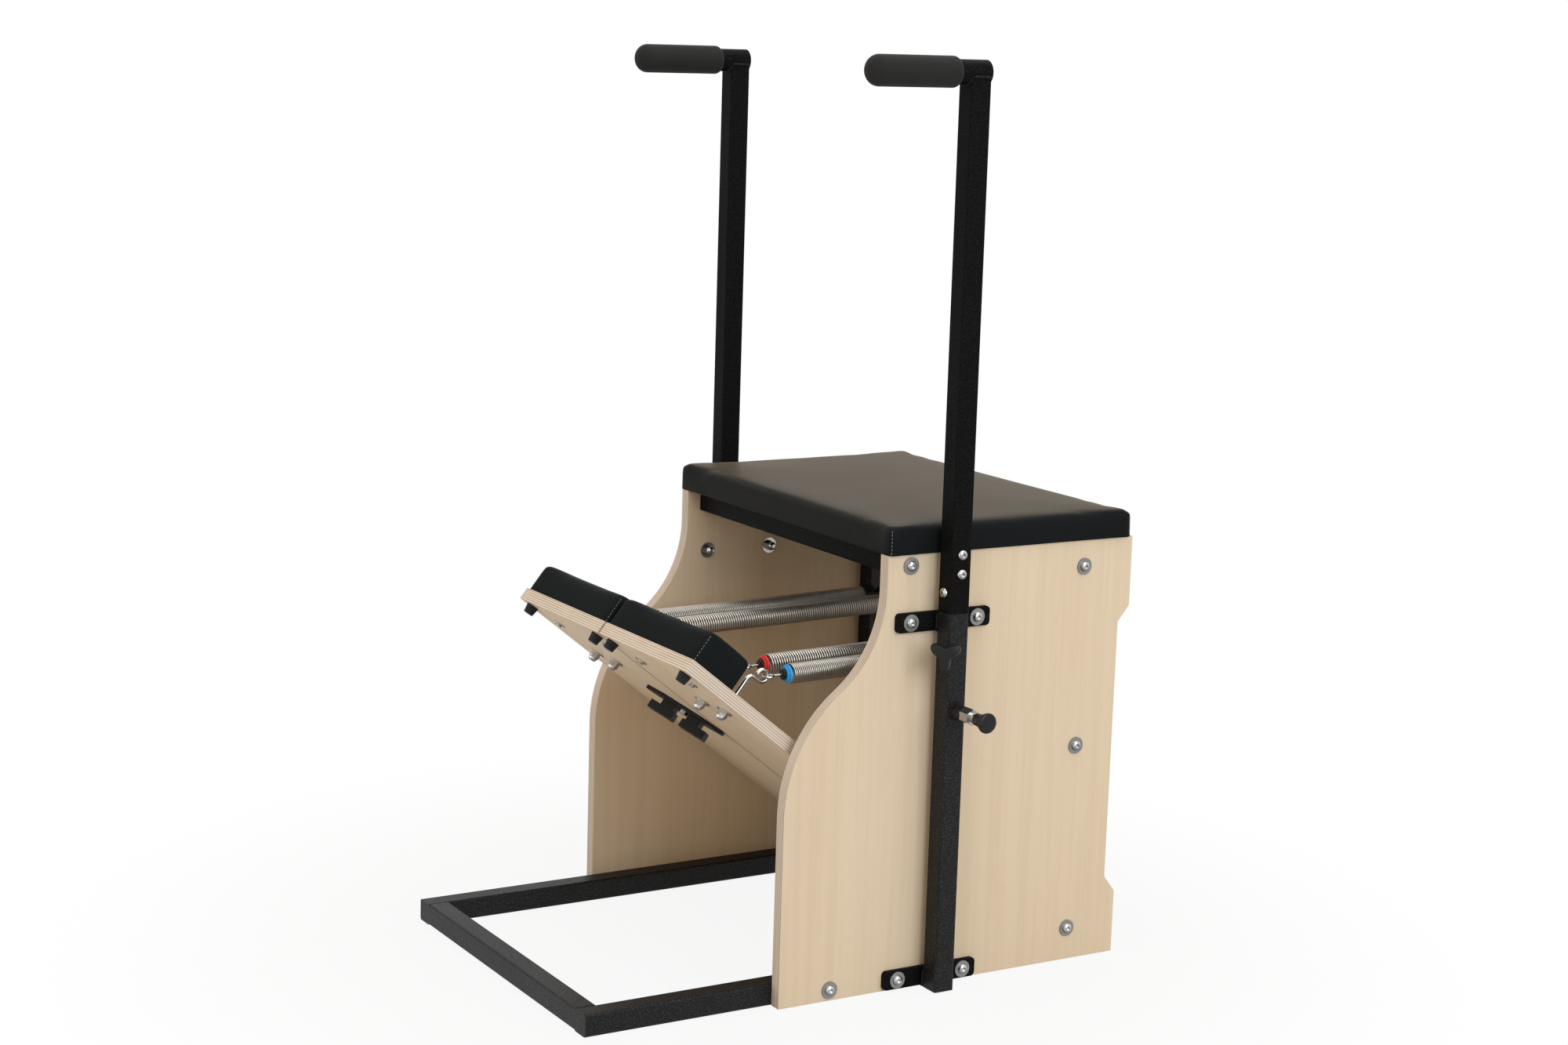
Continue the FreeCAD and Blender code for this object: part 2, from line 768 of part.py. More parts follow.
brackets = []
collars = []
for name, side in SIDES.items():
    plate_x = across(side, cell.panel_half_width, plate_seat)
    spacer_x = across(side, plate_seat, post_inner)
    sleeve_x = across(side, post_inner, post_inner + cell.tube)
    sleeve_y = span(post_y, cell.tube)
    sleeve_z = (cell.sleeve_lift, sleeve_top)
    for level, height in (("upper", upper_bracket_z), ("lower", cell.lower_bracket_height)):
        tag = f"bracket_{name}_{level}"
        plate_z = span(height, cell.bracket_height)
        plate = box(tag + "_plate", plate_x, span(post_y, cell.bracket_length), plate_z)
        spacer = box(tag + "_spacer", spacer_x, sleeve_y, plate_z)
        blank = fuse(tag + "_blank", [rounded(plate, "x", cell.bracket_corner), spacer])
        brackets.append(cut(tag, blank, bolt_holes(tag + "_hole", side)))

    # The sleeve has a boss on its outer face for the plunger and one on its front corner for the clamp.
    skin = rounded(box(f"sleeve_{name}_skin", sleeve_x, sleeve_y, sleeve_z), "z", cell.tube_corner)
    face_x = (post_inner + cell.tube) * side
    boss_root = (face_x - cell.tube_wall * side, post_y, plunger_z)
    boss_length = cell.plunger_boss_length + cell.tube_wall
    boss = rod(f"sleeve_{name}_boss", OUTWARD[side], boss_root, boss_length, cell.plunger_boss_diameter)
    corner_x = post_inner + cell.tube
    corner_y = sleeve_y[0]
    clamp_turn = Rotation(Vector(0, 0, 1), Vector(side, -1, 0))

    def beyond_corner(distance):
        """A point on the clamp's axis, past the sleeve's corner."""
        share = distance * DIAGONAL_SHARE
        return ((corner_x + share) * side, corner_y - share, clamp_z)

    clamp_root = beyond_corner(-cell.clamp_boss_root)
    clamp_length = cell.clamp_boss_root + cell.clamp_boss_length
    clamp_boss = rod(f"sleeve_{name}_clamp", clamp_turn, clamp_root, clamp_length, cell.clamp_boss_diameter)
    blank = fuse(f"sleeve_{name}_blank", [skin, boss, clamp_boss])
    bore_x = (sleeve_x[0] + cell.tube_wall, sleeve_x[1] - cell.tube_wall)
    bore_y = (sleeve_y[0] + cell.tube_wall, sleeve_y[1] - cell.tube_wall)
    bore_z = (sleeve_z[0] - cell.overrun, sleeve_z[1] + cell.overrun)
    pin_start = (face_x - cell.tube_wall * 2 * side, post_y, plunger_z)
    pin_hole_length = boss_length + cell.tube_wall + cell.overrun
    pin_hole_diameter = cell.plunger_pin_diameter + cell.plunger_pin_clearance * 2
    stud_hole_length = clamp_length + cell.overrun
    stud_hole_diameter = cell.clamp_stud_diameter + cell.clamp_stud_clearance * 2
    tools = [
        box(f"sleeve_{name}_bore", bore_x, bore_y, bore_z),
        rod(f"sleeve_{name}_pin_hole", OUTWARD[side], pin_start, pin_hole_length, pin_hole_diameter),
        rod(f"sleeve_{name}_stud_hole", clamp_turn, clamp_root, stud_hole_length, stud_hole_diameter),
    ]
    node(f"sleeve_{name}", cut(f"sleeve_tube_{name}", blank, [fuse(f"sleeve_{name}_cutter", tools)]))

    # The plunger's collar screws onto its boss, and its knob pulls a pin out of the sleeve.
    collar_start = face_x + cell.plunger_boss_length * side
    collar = prism(cell.collar_width, cell.collar_length).cut(disc(pin_hole_diameter, cell.collar_length))
    collars.append(moved(collar, OUTWARD[side], collar_start, post_y, plunger_z))
    pin_length = float(cell.tube_wall + cell.plunger_boss_length + cell.collar_length)
    pin_radius = float(cell.plunger_pin_diameter) / 2
    neck_radius = float(cell.plunger_neck_diameter) / 2
    knob_radius = float(cell.plunger_knob_diameter) / 2
    knob_low = float(cell.plunger_neck_length)
    knob_high = knob_low + float(cell.plunger_knob_length)
    knob_round = float(cell.plunger_knob_round)
    knob = turned(
        [
            ((0, -pin_length), 0),
            ((pin_radius, -pin_length), 0),
            ((pin_radius, 0), 0),
            ((neck_radius, 0), 0),
            ((neck_radius, knob_low), 0),
            ((knob_radius, knob_low), knob_round),
            ((knob_radius, knob_high), knob_round),
            ((0, knob_high), 0),
        ]
    )
    knob_x = collar_start + cell.collar_length * side
    knob_place = Placement(Vector(float(knob_x), float(post_y), float(plunger_z)), OUTWARD[side])
    node(f"plunger_knob_{name}", feature(f"plunger_{name}", knob, knob_place))

    # Three lobes round a hub, on a stud that reaches through the sleeve's corner.
    lobe_circle = cell.clamp_knob_reach - cell.clamp_lobe_diameter / 2
    knob_start = cell.clamp_boss_length + cell.clamp_knob_gap
    stud_length = cell.clamp_stud_inset + knob_start + cell.clamp_knob_length
    stud_start = (0, 0, -cell.clamp_stud_inset)
    pieces = [
        rod(f"clamp_{name}_hub", Rotation(), (0, 0, knob_start), cell.clamp_knob_length, lobe_circle * 2),
        rod(f"clamp_{name}_stud", Rotation(), stud_start, stud_length, cell.clamp_stud_diameter),
    ]
    for step in range(3):
        turn = math.radians(120 * step)
        spot = (lobe_circle * math.cos(turn), lobe_circle * math.sin(turn), knob_start)
        lobe = rod(f"clamp_{name}_{step}", Rotation(), spot, cell.clamp_knob_length, cell.clamp_lobe_diameter)
        pieces.append(lobe)
    clamp = fuse(f"clamp_{name}", pieces)
    clamp.Placement = Placement(Vector(), clamp_turn)
    place(clamp, *beyond_corner(sized(0)))
    node(f"clamp_knob_{name}", clamp)
node("sleeve_brackets", group("brackets", brackets))
node("plunger_collars", feature("collars", Part.makeCompound(collars), Placement()))


# Push handles that slide in the sleeves

insert_width = cell.tube - cell.tube_wall * 2 - cell.insert_clearance * 2
screw_grip = cell.tube_wall + cell.insert_clearance + cell.insert_wall
screw_hole = cell.bolt_diameter + cell.bolt_hole_clearance
post_top = cell.bar_height - cell.post_top_drop
post_front = post_y - cell.tube / 2
grip_rear = post_front - cell.grip_gap
for name, side in SIDES.items():
    post_xs = across(side, post_inner, post_inner + cell.tube)
    screws = []
    for height in (sleeve_top + cell.side_screw_upper_rise, sleeve_top + cell.side_screw_lower_rise):
        screws.append((OUTWARD[side], (post_inner + cell.tube) * side, post_y, height))
    screws.append((FORWARD, post_x * side, post_front, sleeve_top + cell.front_screw_rise))

    def screw_holes(tag):
        """A rod for each screw, to cut its hole through one wall of the post and the insert."""
        rods = []
        for index, (turn, x, y, z) in enumerate(screws):
            depth = screw_grip + cell.tube_wall
            if turn is FORWARD:
                start = (x, y + depth, z)
            else:
                start = (x - depth * side, y, z)
            rods.append(rod(f"{tag}_{index}", turn, start, depth + cell.overrun, screw_hole))
        return rods

    post = square_tube(
        f"post_{name}_tube",
        post_xs,
        span(post_y, cell.tube),
        (sleeve_top, post_top),
        "z",
        cell.tube_wall,
        cell.tube_corner,
    )
    drilled = cut(f"post_{name}_drilled", post, screw_holes(f"post_{name}_hole"))
    inside = cell.tube - cell.tube_wall * 2
    lid = box(
        f"post_{name}_lid",
        span(post_x * side, inside),
        span(post_y, inside),
        (post_top - cell.tube_wall, post_top),
    )
    # The bar is a tube, open inside the grip and closed at the rear.
    bar_front = grip_rear - cell.grip_length + cell.grip_end_wall
    bar_length = post_front + cell.tube + cell.bar_overhang - bar_front
    bar_start = (post_x * side, bar_front, cell.bar_height)
    bar = rod(f"bar_{name}", ALONG["y"], bar_start, bar_length, cell.bar_diameter)
    hollow_start = (post_x * side, bar_front - cell.overrun, cell.bar_height)
    hollow_length = bar_length + cell.overrun - cell.bar_wall
    hollow_diameter = cell.bar_diameter - cell.bar_wall * 2
    hollow = rod(f"bar_{name}_hollow", ALONG["y"], hollow_start, hollow_length, hollow_diameter)
    node(f"handle_post_{name}", cut(f"post_{name}", fuse(f"post_{name}_blank", [drilled, lid, bar]), [hollow]))
    insert = square_tube(
        f"insert_{name}_tube",
        span(post_x * side, insert_width),
        span(post_y, insert_width),
        (sleeve_top - cell.insert_depth, sleeve_top + cell.insert_rise),
        "z",
        cell.insert_wall,
        cell.insert_corner,
    )
    node(f"handle_insert_{name}", cut(f"insert_{name}", insert, screw_holes(f"insert_{name}_hole")))
    screw_solids = [moved(bolt_shape(screw_grip), turn, x, y, z) for turn, x, y, z in screws]
    node(f"handle_screws_{name}", feature(f"screws_{name}", Part.makeCompound(screw_solids), Placement()))
    bore = float(cell.bar_diameter) / 2 + float(cell.grip_clearance)
    radius, bend = float(cell.grip_diameter) / 2, float(cell.grip_round)
    length, wall = float(cell.grip_length), float(cell.grip_end_wall)
    grip = turned(
        [
            ((bore, 0), 0),
            ((radius, 0), float(cell.grip_heel_round)),
            ((radius, length), bend),
            ((0, length), 0),
            ((0, length - wall), 0),
            ((bore, length - wall), 0),
        ]
    )
    grip_place = Placement(Vector(float(post_x * side), float(grip_rear), float(cell.bar_height)), FORWARD)
    node(f"handle_grip_{name}", feature(f"grip_{name}", grip, grip_place))


# Pedals


def on_pedal(item):
    """Turns a piece that is drawn flat on the axle up to the pedal's rest."""
    item.Placement = Placement(Vector(), Rotation(Vector(-1, 0, 0), float(cell.pedal_angle)))
    item.setExpression("Placement.Rotation.Angle", cell.pedal_angle.text + " * 1 deg")
    place(item, 0, axle_y, cell.axle_height)
    return item


pedal_place = Placement(
    Vector(0, float(axle_y), float(cell.axle_height)),
    Rotation(Vector(-1, 0, 0), float(cell.pedal_angle)),
)
pedal_front = -cell.pedal_length
board_top = cell.ply / 2
eye_y = pedal_front + cell.eye_setback
eye_places = span(spring_centre, cell.spring_spacing)
latch_x = -(cell.pedal_gap / 2 + cell.latch_side_inset)
latch_y = pedal_front + cell.latch_setback
latch_low = -board_top - cell.latch_plate


def eye_bolt(x):
    """A wire that rises from the pedal, bends back and ends in an open eye."""
    y = float(eye_y)
    bend, loop = float(cell.eye_bend), float(cell.eye_radius)
    centre_y, centre_z = y + float(cell.eye_reach), float(cell.eye_rise)
    low = centre_z - loop
    corner = bend - bend * DIAGONAL_SHARE
    root = Vector(x, y, -float(board_top))
    bend_start = Vector(x, y, low - bend)
    bend_end = Vector(x, y + bend, low)
    path = [
        Part.LineSegment(root, bend_start),
        Part.Arc(bend_start, Vector(x, y + corner, low - corner), bend_end),
        Part.LineSegment(bend_end, Vector(x, centre_y, low)),
    ]

    def on_loop(turn):
        angle = math.radians(turn)
        return Vector(x, centre_y + loop * math.sin(angle), centre_z - loop * math.cos(angle))

    third = EYE_TURN / 3
    for step in range(3):
        start = step * third
        path.append(Part.Arc(on_loop(start), on_loop(start + third / 2), on_loop(start + third)))
    spine = Part.Wire([curve.toShape() for curve in path])
    wire = Part.Wire(Part.makeCircle(float(cell.eye_wire) / 2, root, Vector(0, 0, 1)))
    return spine.makePipeShell([wire], True, False)


for name, side in SIDES.items():
    pedal_x = across(side, cell.pedal_gap / 2, pedal_side)
    blank = box(f"pedal_{name}_blank", pedal_x, (pedal_front, -cell.pedal_rear_gap), (-board_top, board_top))
    holes = []
    for index, x in enumerate(eye_places):
        start = (x * side, eye_y, -board_top - cell.overrun)
        length = cell.ply + cell.overrun * 2
        hole_diameter = cell.eye_wire + cell.eye_hole_clearance * 2
        holes.append(rod(f"pedal_{name}_hole_{index}", Rotation(), start, length, hole_diameter))
    node(f"pedal_board_{name}", on_pedal(cut(f"pedal_{name}", blank, holes)))

    pad_inner = cell.pedal_gap / 2 + cell.pad_side_inset
    pad_x = across(side, pad_inner, pedal_side - cell.pad_side_inset)
    pad_shape = cushion(
        pad_x,
        (pedal_front, pedal_front + cell.pad_length),
        (board_top, board_top + cell.pad_height),
        cell.pad_corner,
        cell.pad_draw,
        cell.pad_crown_reach,
    )
    node(f"pedal_pad_{name}", feature(f"pad_{name}", pad_shape, pedal_place))

    bumpers = []
    low = cell.pedal_gap / 2 + cell.bumper_side_inset
    high = pedal_side - cell.bumper_side_inset
    for index, x in enumerate((low, high)):
        start = (x * side, pedal_front + cell.bumper_setback, -board_top - cell.bumper_height)
        tag = f"bumper_{name}_{index}"
        sizes = (cell.bumper_height, cell.bumper_end_diameter, cell.bumper_diameter)
        bumpers.append(cone(tag, Rotation(), start, *sizes))
    node(f"pedal_bumpers_{name}", on_pedal(group(f"bumpers_{name}", bumpers)))

    # Each hinge is a barrel on the axle with a strap above and below the board.
    hinges = []
    low = cell.pedal_gap / 2 + cell.hinge_side_inset
    high = pedal_side - cell.hinge_side_inset
    for index, x in enumerate((low, high)):
        tag = f"hinge_{name}_{index}"
        hinge_x = span(x * side, cell.hinge_barrel_length)
        barrel_sizes = (cell.hinge_barrel_length, cell.hinge_barrel_diameter)
        barrel = rod(tag + "_barrel", ALONG["x"], (hinge_x[0], 0, 0), *barrel_sizes)
        strap_y = (-cell.pedal_rear_gap - cell.strap_length, sized(0))
        strap_top = cell.hinge_barrel_diameter / 2
        upper = box(tag + "_upper", hinge_x, strap_y, (board_top, strap_top))
        lower = box(tag + "_lower", hinge_x, strap_y, (-strap_top, -board_top))
        bore_start = (hinge_x[0] - cell.overrun, 0, 0)
        bore_length = cell.hinge_barrel_length + cell.overrun * 2
        bore_diameter = cell.axle_diameter + cell.axle_clearance * 2
        bore = rod(tag + "_bore", ALONG["x"], bore_start, bore_length, bore_diameter)
        hinges.append(cut(tag, fuse(tag + "_blank", [barrel, upper, lower]), [bore]))
    node(f"pedal_hinges_{name}", on_pedal(group(f"hinges_{name}", hinges)))

    eyes = [eye_bolt(float(x * side)) for x in eye_places]
    node(f"eye_bolts_{name}", feature(f"eyes_{name}", Part.makeCompound(eyes), pedal_place))

    # Underneath: screws that hold the pad, cap nuts on the eye bolts and, on the left, the latch's screw.
    fasteners = []
    underside = -board_top
    pad_middle = (cell.pedal_gap / 2 + pedal_side) / 2
    for x in span(pad_middle, cell.pad_screw_spacing):
        spot = (x * side, pedal_front + cell.pad_screw_setback)
        flat = disc(cell.pad_washer_diameter, cell.pad_washer_thickness)
        head = disc(cell.pad_screw_head, cell.pad_screw_rise)
        head = moved(head, Rotation(), 0, 0, cell.pad_washer_thickness)
        fasteners.append(moved(flat.fuse(head), DOWN, *spot, underside))
    for x in eye_places:
        flat = disc(cell.washer_diameter, cell.washer_thickness)
        cap = moved(cap_nut(), Rotation(), 0, 0, cell.washer_thickness)
        fasteners.append(moved(flat.fuse(cap), DOWN, x * side, eye_y, underside))
    if side < 0:
        shank = disc(cell.latch_screw_diameter, cell.latch_plate)
        head = moved(disc(cell.latch_screw_head, cell.latch_screw_rise), DOWN, 0, 0, 0)
        fasteners.append(moved(shank.fuse(head), Rotation(), latch_x, latch_y, latch_low))
    node(f"pedal_fasteners_{name}", feature(f"fasteners_{name}", Part.makeCompound(fasteners), pedal_place))


# Latch under the left pedal, which turns to reach under the right one


def latch_blade():
    """A flat bar that narrows to both ends, lying on the origin."""
    end, shoulder = float(cell.latch_length) / 2, float(cell.latch_length) / 4
    tip, half = float(cell.latch_tip_width) / 2, float(cell.latch_width) / 2
    right = [(end, -tip), (end, tip), (shoulder, half)]
    left = [(-shoulder, half), (-end, tip), (-end, -tip), (-shoulder, -half)]
    corners = [(point, 0) for point in (*right, *left, (shoulder, -half))]
    return Part.Face(closed_wire(corners)).extrude(Vector(0, 0, float(cell.latch_plate)))


def latch_block(inner, outer, low, high, end):
    """A block of the latch's body on one side of its middle, between two depths under the blade."""
    width = float(cell.latch_body_width)
    size = Vector(float(outer - inner), width, float(high - low))
    corner = Vector(float(inner) if end > 0 else -float(outer), -width / 2, float(low))
    return Part.makeBox(*size, corner)


# The body has two feet that point both ways along the blade, each on a neck of its own.
neck_low = -cell.latch_neck_height
foot_low = neck_low - cell.latch_foot_height
latch_shape = latch_blade()
for end in (-1, 1):
    neck = latch_block(cell.latch_neck_inner, cell.latch_neck_outer, neck_low, sized(0), end)
    foot = latch_block(cell.latch_foot_inner, cell.latch_foot_outer, foot_low, neck_low, end)
    latch_shape = latch_shape.fuse([neck, foot])
latch_place = Placement(
    Vector(float(latch_x), float(latch_y), float(latch_low)),
    Rotation(Vector(0, 0, 1), float(cell.latch_angle)),
)
latch_blank = feature("latch_blank", latch_shape.removeSplitter(), latch_place)
bore_start = (latch_x, latch_y, latch_low - cell.overrun)
bore_length = cell.latch_plate + cell.overrun * 2
bore_diameter = cell.latch_screw_diameter + cell.latch_screw_clearance * 2
bore = rod("latch_bore", Rotation(), bore_start, bore_length, bore_diameter)
node("pedal_latch", on_pedal(cut("latch", latch_blank, [bore])))


# Springs, drawn along -Y from the peg that they hang on

hook_y = eye_y + cell.eye_reach + cell.eye_radius
hook_y = hook_y - cell.eye_wire / 2 - cell.hook_wire / 2 - cell.hook_clearance
hook_point = pedal_place.multVec(Vector(0, float(hook_y), float(cell.eye_rise)))
anchor_point = Vector(0, float(anchor_y), float(anchor_z))
reach = hook_point - anchor_point
spring_length = reach.Length
spring_tilt = math.degrees(math.atan2(-reach.z, -reach.y))
spring_place = Placement(anchor_point, Rotation(Vector(1, 0, 0), spring_tilt))
front_hook = spring_length - 2 * float(cell.hook_radius)
front_plug = spring_length - float(cell.front_plug_gap)
coil_front = front_plug - float(cell.front_plug_length)
rear_plug = float(cell.rear_plug_gap)
coil_rear = rear_plug + float(cell.rear_plug_length)


def biarc(start, start_way, end, end_way):
    """Two arcs that join two points with a given direction at each."""
    chord = end - start
    ways = start_way + end_way
    spread = 2 * (1 - start_way.dot(end_way))
    along = chord.dot(ways)
    arm = (math.sqrt(along**2 + spread * chord.dot(chord)) - along) / spread
    joint = (start + end + (start_way - end_way) * arm) / 2
    arcs = []
    for first, last, knee in ((start, joint, start + start_way * arm), (joint, end, end - end_way * arm)):
        middle = (first + last) / 2
        half_chord = (last - first).Length / 2
        height = (knee - middle).Length
        sagitta = half_chord * math.tan(math.atan2(height, half_chord) / 2)
        arcs.append(Part.Arc(first, middle + (knee - middle) * (sagitta / height), last))
    return arcs


def coil_path(x):
    """The line of a coil's wire: straight out of one plug, round its turns and straight into the other."""
    radius = (float(cell.coil_diameter) - float(cell.coil_wire)) / 2
    straight, lead = float(cell.coil_wire), float(cell.coil_lead)
    first, last = -coil_rear - straight - lead, -coil_front + straight + lead
    rise = (last - first) / (2 * math.pi * COIL_TURNS)
    ahead = Vector(0, -1, 0)

    def at(angle, y):
        return Vector(x + radius * math.cos(angle), y, radius * math.sin(angle))

    def way(angle):
        return Vector(-radius * math.sin(angle), rise, radius * math.cos(angle)).normalize()

    lead_angle = lead / radius
    full = 2 * math.pi * COIL_TURNS
    rear, front = at(-lead_angle, first + lead), at(full + lead_angle, last - lead)
    path = [Part.LineSegment(rear - ahead * straight, rear)]
    path += biarc(rear, ahead, at(0, first), way(0))
    for half_turn in range(2 * COIL_TURNS):
        low, high = half_turn * math.pi, (half_turn + 1) * math.pi
        path += biarc(at(low, first + rise * low), way(low), at(high, first + rise * high), way(high))
    path += biarc(at(full, last), way(full), front, ahead)
    path.append(Part.LineSegment(front, front + ahead * straight))
    return path


def least_gap(path):
    """The least gap between a wire's turns, measured on points of its line."""
    radius = (float(cell.coil_diameter) - float(cell.coil_wire)) / 2
    points = []
    travelled = 0
    for curve in path:
        edge = curve.toShape()
        steps = edge.discretize(GAP_STEPS + 1)
        for index, point in enumerate(steps[:-1]):
            points.append((travelled + edge.Length * index / GAP_STEPS, point))
        travelled += edge.Length
    apart = radius * math.pi
    gaps = []
    for index, (place_one, one) in enumerate(points):
        window = points[index + 1 : index + GAP_WINDOW]
        gaps += [(other - one).Length for place_two, other in window if place_two - place_one > apart]
    return min(gaps) - float(cell.coil_wire)


def coil_shape(x):
    """One unbroken wire wound from plug to plug."""
    path = coil_path(x)
    spine = Part.Wire([curve.toShape() for curve in path])
    start = path[0].StartPoint
    wire = Part.Wire(Part.makeCircle(float(cell.coil_wire) / 2, start, Vector(0, -1, 0)))
    return spine.makePipeShell([wire], True, False)


def along_spring(diameter, x, start, end):
    """A round piece on a spring's axis, between two distances from its peg."""
    length = end - start
    return moved(disc(diameter, length), FORWARD, x, -start, 0)


print("least gap between coil turns", round(least_gap(coil_path(0)), 3), "mm")
print("spring length", round(spring_length, 3), "tilt", round(spring_tilt, 4))
for name, side in SIDES.items():
    plug_solids = []
    hook_solids = []
    rear_solids = []
    for place_name, spot in zip(("inner", "outer"), eye_places):
        x = float(spot * side)
        plug_solids.append(along_spring(cell.plug_diameter, x, coil_front, front_plug))
        loop = Part.makeTorus(float(cell.hook_radius), float(cell.hook_wire) / 2)
        loop = moved(loop, Rotation(), x, -front_hook - float(cell.hook_radius), 0)
        hook_solids.append(loop.fuse(along_spring(cell.hook_wire, x, front_plug, front_hook)))
        rear_radius = float(cell.peg_diameter + cell.hook_wire) / 2 + float(cell.hook_clearance)
        loop = Part.makeTorus(rear_radius, float(cell.hook_wire) / 2)
        loop = moved(loop, ALONG["x"], x, 0, 0)
        shank = along_spring(cell.hook_wire, x, rear_radius, rear_plug)
        plug = along_spring(cell.plug_diameter, x, rear_plug, coil_rear)
        rear_solids.append(loop.fuse([shank, plug]))
        node(f"coil_{name}_{place_name}", feature(f"wire_{name}_{place_name}", coil_shape(x), spring_place))
    node(f"spring_plugs_{name}", feature(f"front_plugs_{name}", Part.makeCompound(plug_solids), spring_place))
    node(f"spring_hooks_{name}", feature(f"front_hooks_{name}", Part.makeCompound(hook_solids), spring_place))
    node(f"spring_ends_{name}", feature(f"rear_ends_{name}", Part.makeCompound(rear_solids), spring_place))


# Every piece is checked before any is written.

doc.recompute()
for item in doc.Objects:
    if {"Invalid", "Error"} & set(item.State):
        raise RuntimeError(f"{item.Name} failed: {item.State}")
for item in nodes:
    if item.Shape.isNull() or not item.Shape.isValid() or not item.Shape.Solids:
        raise RuntimeError(f"{item.Label} has no valid solid")
os.makedirs("parts", exist_ok=True)
for item in nodes:
    item.Shape.exportStep(f"parts/{item.Label}.step")
print(len(nodes), "sub-parts")
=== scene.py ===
"""A pilates chair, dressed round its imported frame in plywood, coated steel, vinyl, foam and wire."""

import json
import math

import bpy
import numpy as np
from mathutils import Matrix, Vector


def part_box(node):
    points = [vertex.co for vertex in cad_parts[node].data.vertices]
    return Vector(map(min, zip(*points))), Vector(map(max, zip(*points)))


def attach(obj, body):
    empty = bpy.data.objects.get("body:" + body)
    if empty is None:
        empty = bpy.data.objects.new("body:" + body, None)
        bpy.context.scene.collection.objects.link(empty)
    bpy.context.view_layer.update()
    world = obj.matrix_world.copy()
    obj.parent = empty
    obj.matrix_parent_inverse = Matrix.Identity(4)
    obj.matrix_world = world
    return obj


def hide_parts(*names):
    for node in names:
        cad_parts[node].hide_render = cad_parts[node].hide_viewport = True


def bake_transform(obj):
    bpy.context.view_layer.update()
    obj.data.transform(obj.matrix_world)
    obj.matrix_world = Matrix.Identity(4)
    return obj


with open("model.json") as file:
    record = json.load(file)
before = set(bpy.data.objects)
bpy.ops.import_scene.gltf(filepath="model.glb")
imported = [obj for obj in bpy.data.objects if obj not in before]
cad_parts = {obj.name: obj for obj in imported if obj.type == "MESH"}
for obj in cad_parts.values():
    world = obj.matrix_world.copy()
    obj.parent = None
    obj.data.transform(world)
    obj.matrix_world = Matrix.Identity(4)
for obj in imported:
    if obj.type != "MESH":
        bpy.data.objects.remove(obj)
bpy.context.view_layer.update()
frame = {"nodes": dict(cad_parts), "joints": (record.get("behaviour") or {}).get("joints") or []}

bl_info = {
    "name": "Pilates chair",
    "version": (1, 0, 0),
    "blender": (4, 5, 0),
    "location": "View3D > Sidebar > Chair",
    "description": "Builds the soft parts, springs and finishes of a pilates chair on its frame",
    "category": "Object",
}

NODES = frame["nodes"]
JOINTS = {joint["name"]: joint for joint in frame["joints"]}
SIDES = {"left": -1, "right": 1}
ACROSS = np.array((1.0, 0.0, 0.0))
DEPTH = np.array((0.0, 1.0, 0.0))
UP = np.array((0.0, 0.0, 1.0))
WHITE = (1.0, 1.0, 1.0)

# Places of the moving parts, read from the frame's joints
AXLE = np.array(JOINTS["pedal_left_hinge"]["pos_m"])
PEDAL_UP = -np.array(JOINTS["pedal_latch_turn"]["axis"])
PEDAL_ALONG = np.cross(PEDAL_UP, ACROSS)
SPRING_ROOT = np.array(JOINTS["spring_left_swing"]["pos_m"])
SPRING_ALONG = np.array(JOINTS["spring_left_stretch"]["axis"])


# Properties that a user would change


def number(name, description, default, **settings):
    """A property with one number that is never negative."""
    settings = {"name": name, "description": description, "default": default, "min": 0, **settings}
    return bpy.props.FloatProperty(**settings)


def length(name, description, default):
    """A length property in metres."""
    return number(name, description, default, unit="LENGTH")


def power(name, description, default):
    """A property for a lamp's power in watts."""
    return number(name, description, default, unit="POWER")


def angle(name, description, degrees):
    """An angle property."""
    default = math.radians(degrees)
    return bpy.props.FloatProperty(name=name, description=description, default=default, subtype="ANGLE")


def count(name, description, default):
    """A property with one whole number."""
    return bpy.props.IntProperty(name=name, description=description, default=default, min=0)


def colour(name, description, default):
    """A colour property, in linear light."""
    return bpy.props.FloatVectorProperty(
        name=name, description=description, default=default, min=0, max=1, size=3, subtype="COLOR"
    )


class ChairColours(bpy.types.PropertyGroup):
    wood_pale: colour("Pale wood", "The lighter wood of the face veneer", (0.785, 0.635, 0.465))
    wood_dark: colour("Dark wood", "The grain streaks of the face veneer", (0.63, 0.455, 0.285))
    edge_pale: colour("Pale ply", "The lighter layers on a sawn edge", (0.75, 0.655, 0.555))
    edge_dark: colour("Dark ply", "The darker layers and glue lines on a sawn edge", (0.33, 0.20, 0.12))
    steel: colour("Coated steel", "The powder coat of the frame", (0.0055, 0.0055, 0.0055))
    bright: colour("Bright steel", "Bolts, nuts, hooks and eyes", (0.68, 0.67, 0.65))
    # The spring wire's warm tint is partly the plating's own colour and partly a painted reflection of
    # the wood.
    wire: colour("Spring wire", "The wire of the springs", (0.60, 0.56, 0.49))
    dull: colour("Dull steel", "Washers and the hidden axle", (0.34, 0.335, 0.32))
    vinyl: colour("Vinyl", "The cover of the seat and the pads", (0.0070, 0.0082, 0.0090))
    thread: colour("Thread", "The stitches at the corners", (0.24, 0.25, 0.25))
    foam: colour("Foam", "The grips of the push handles", (0.020, 0.020, 0.0196))
    plastic: colour("Plastic", "Knobs, plugs and the latch", (0.0062, 0.0062, 0.0062))
    inner_plug: colour("Inner plug", "The collars of the inner springs", (0.56, 0.035, 0.030))
    outer_plug: colour("Outer plug", "The collars of the outer springs", (0.030, 0.32, 0.68))


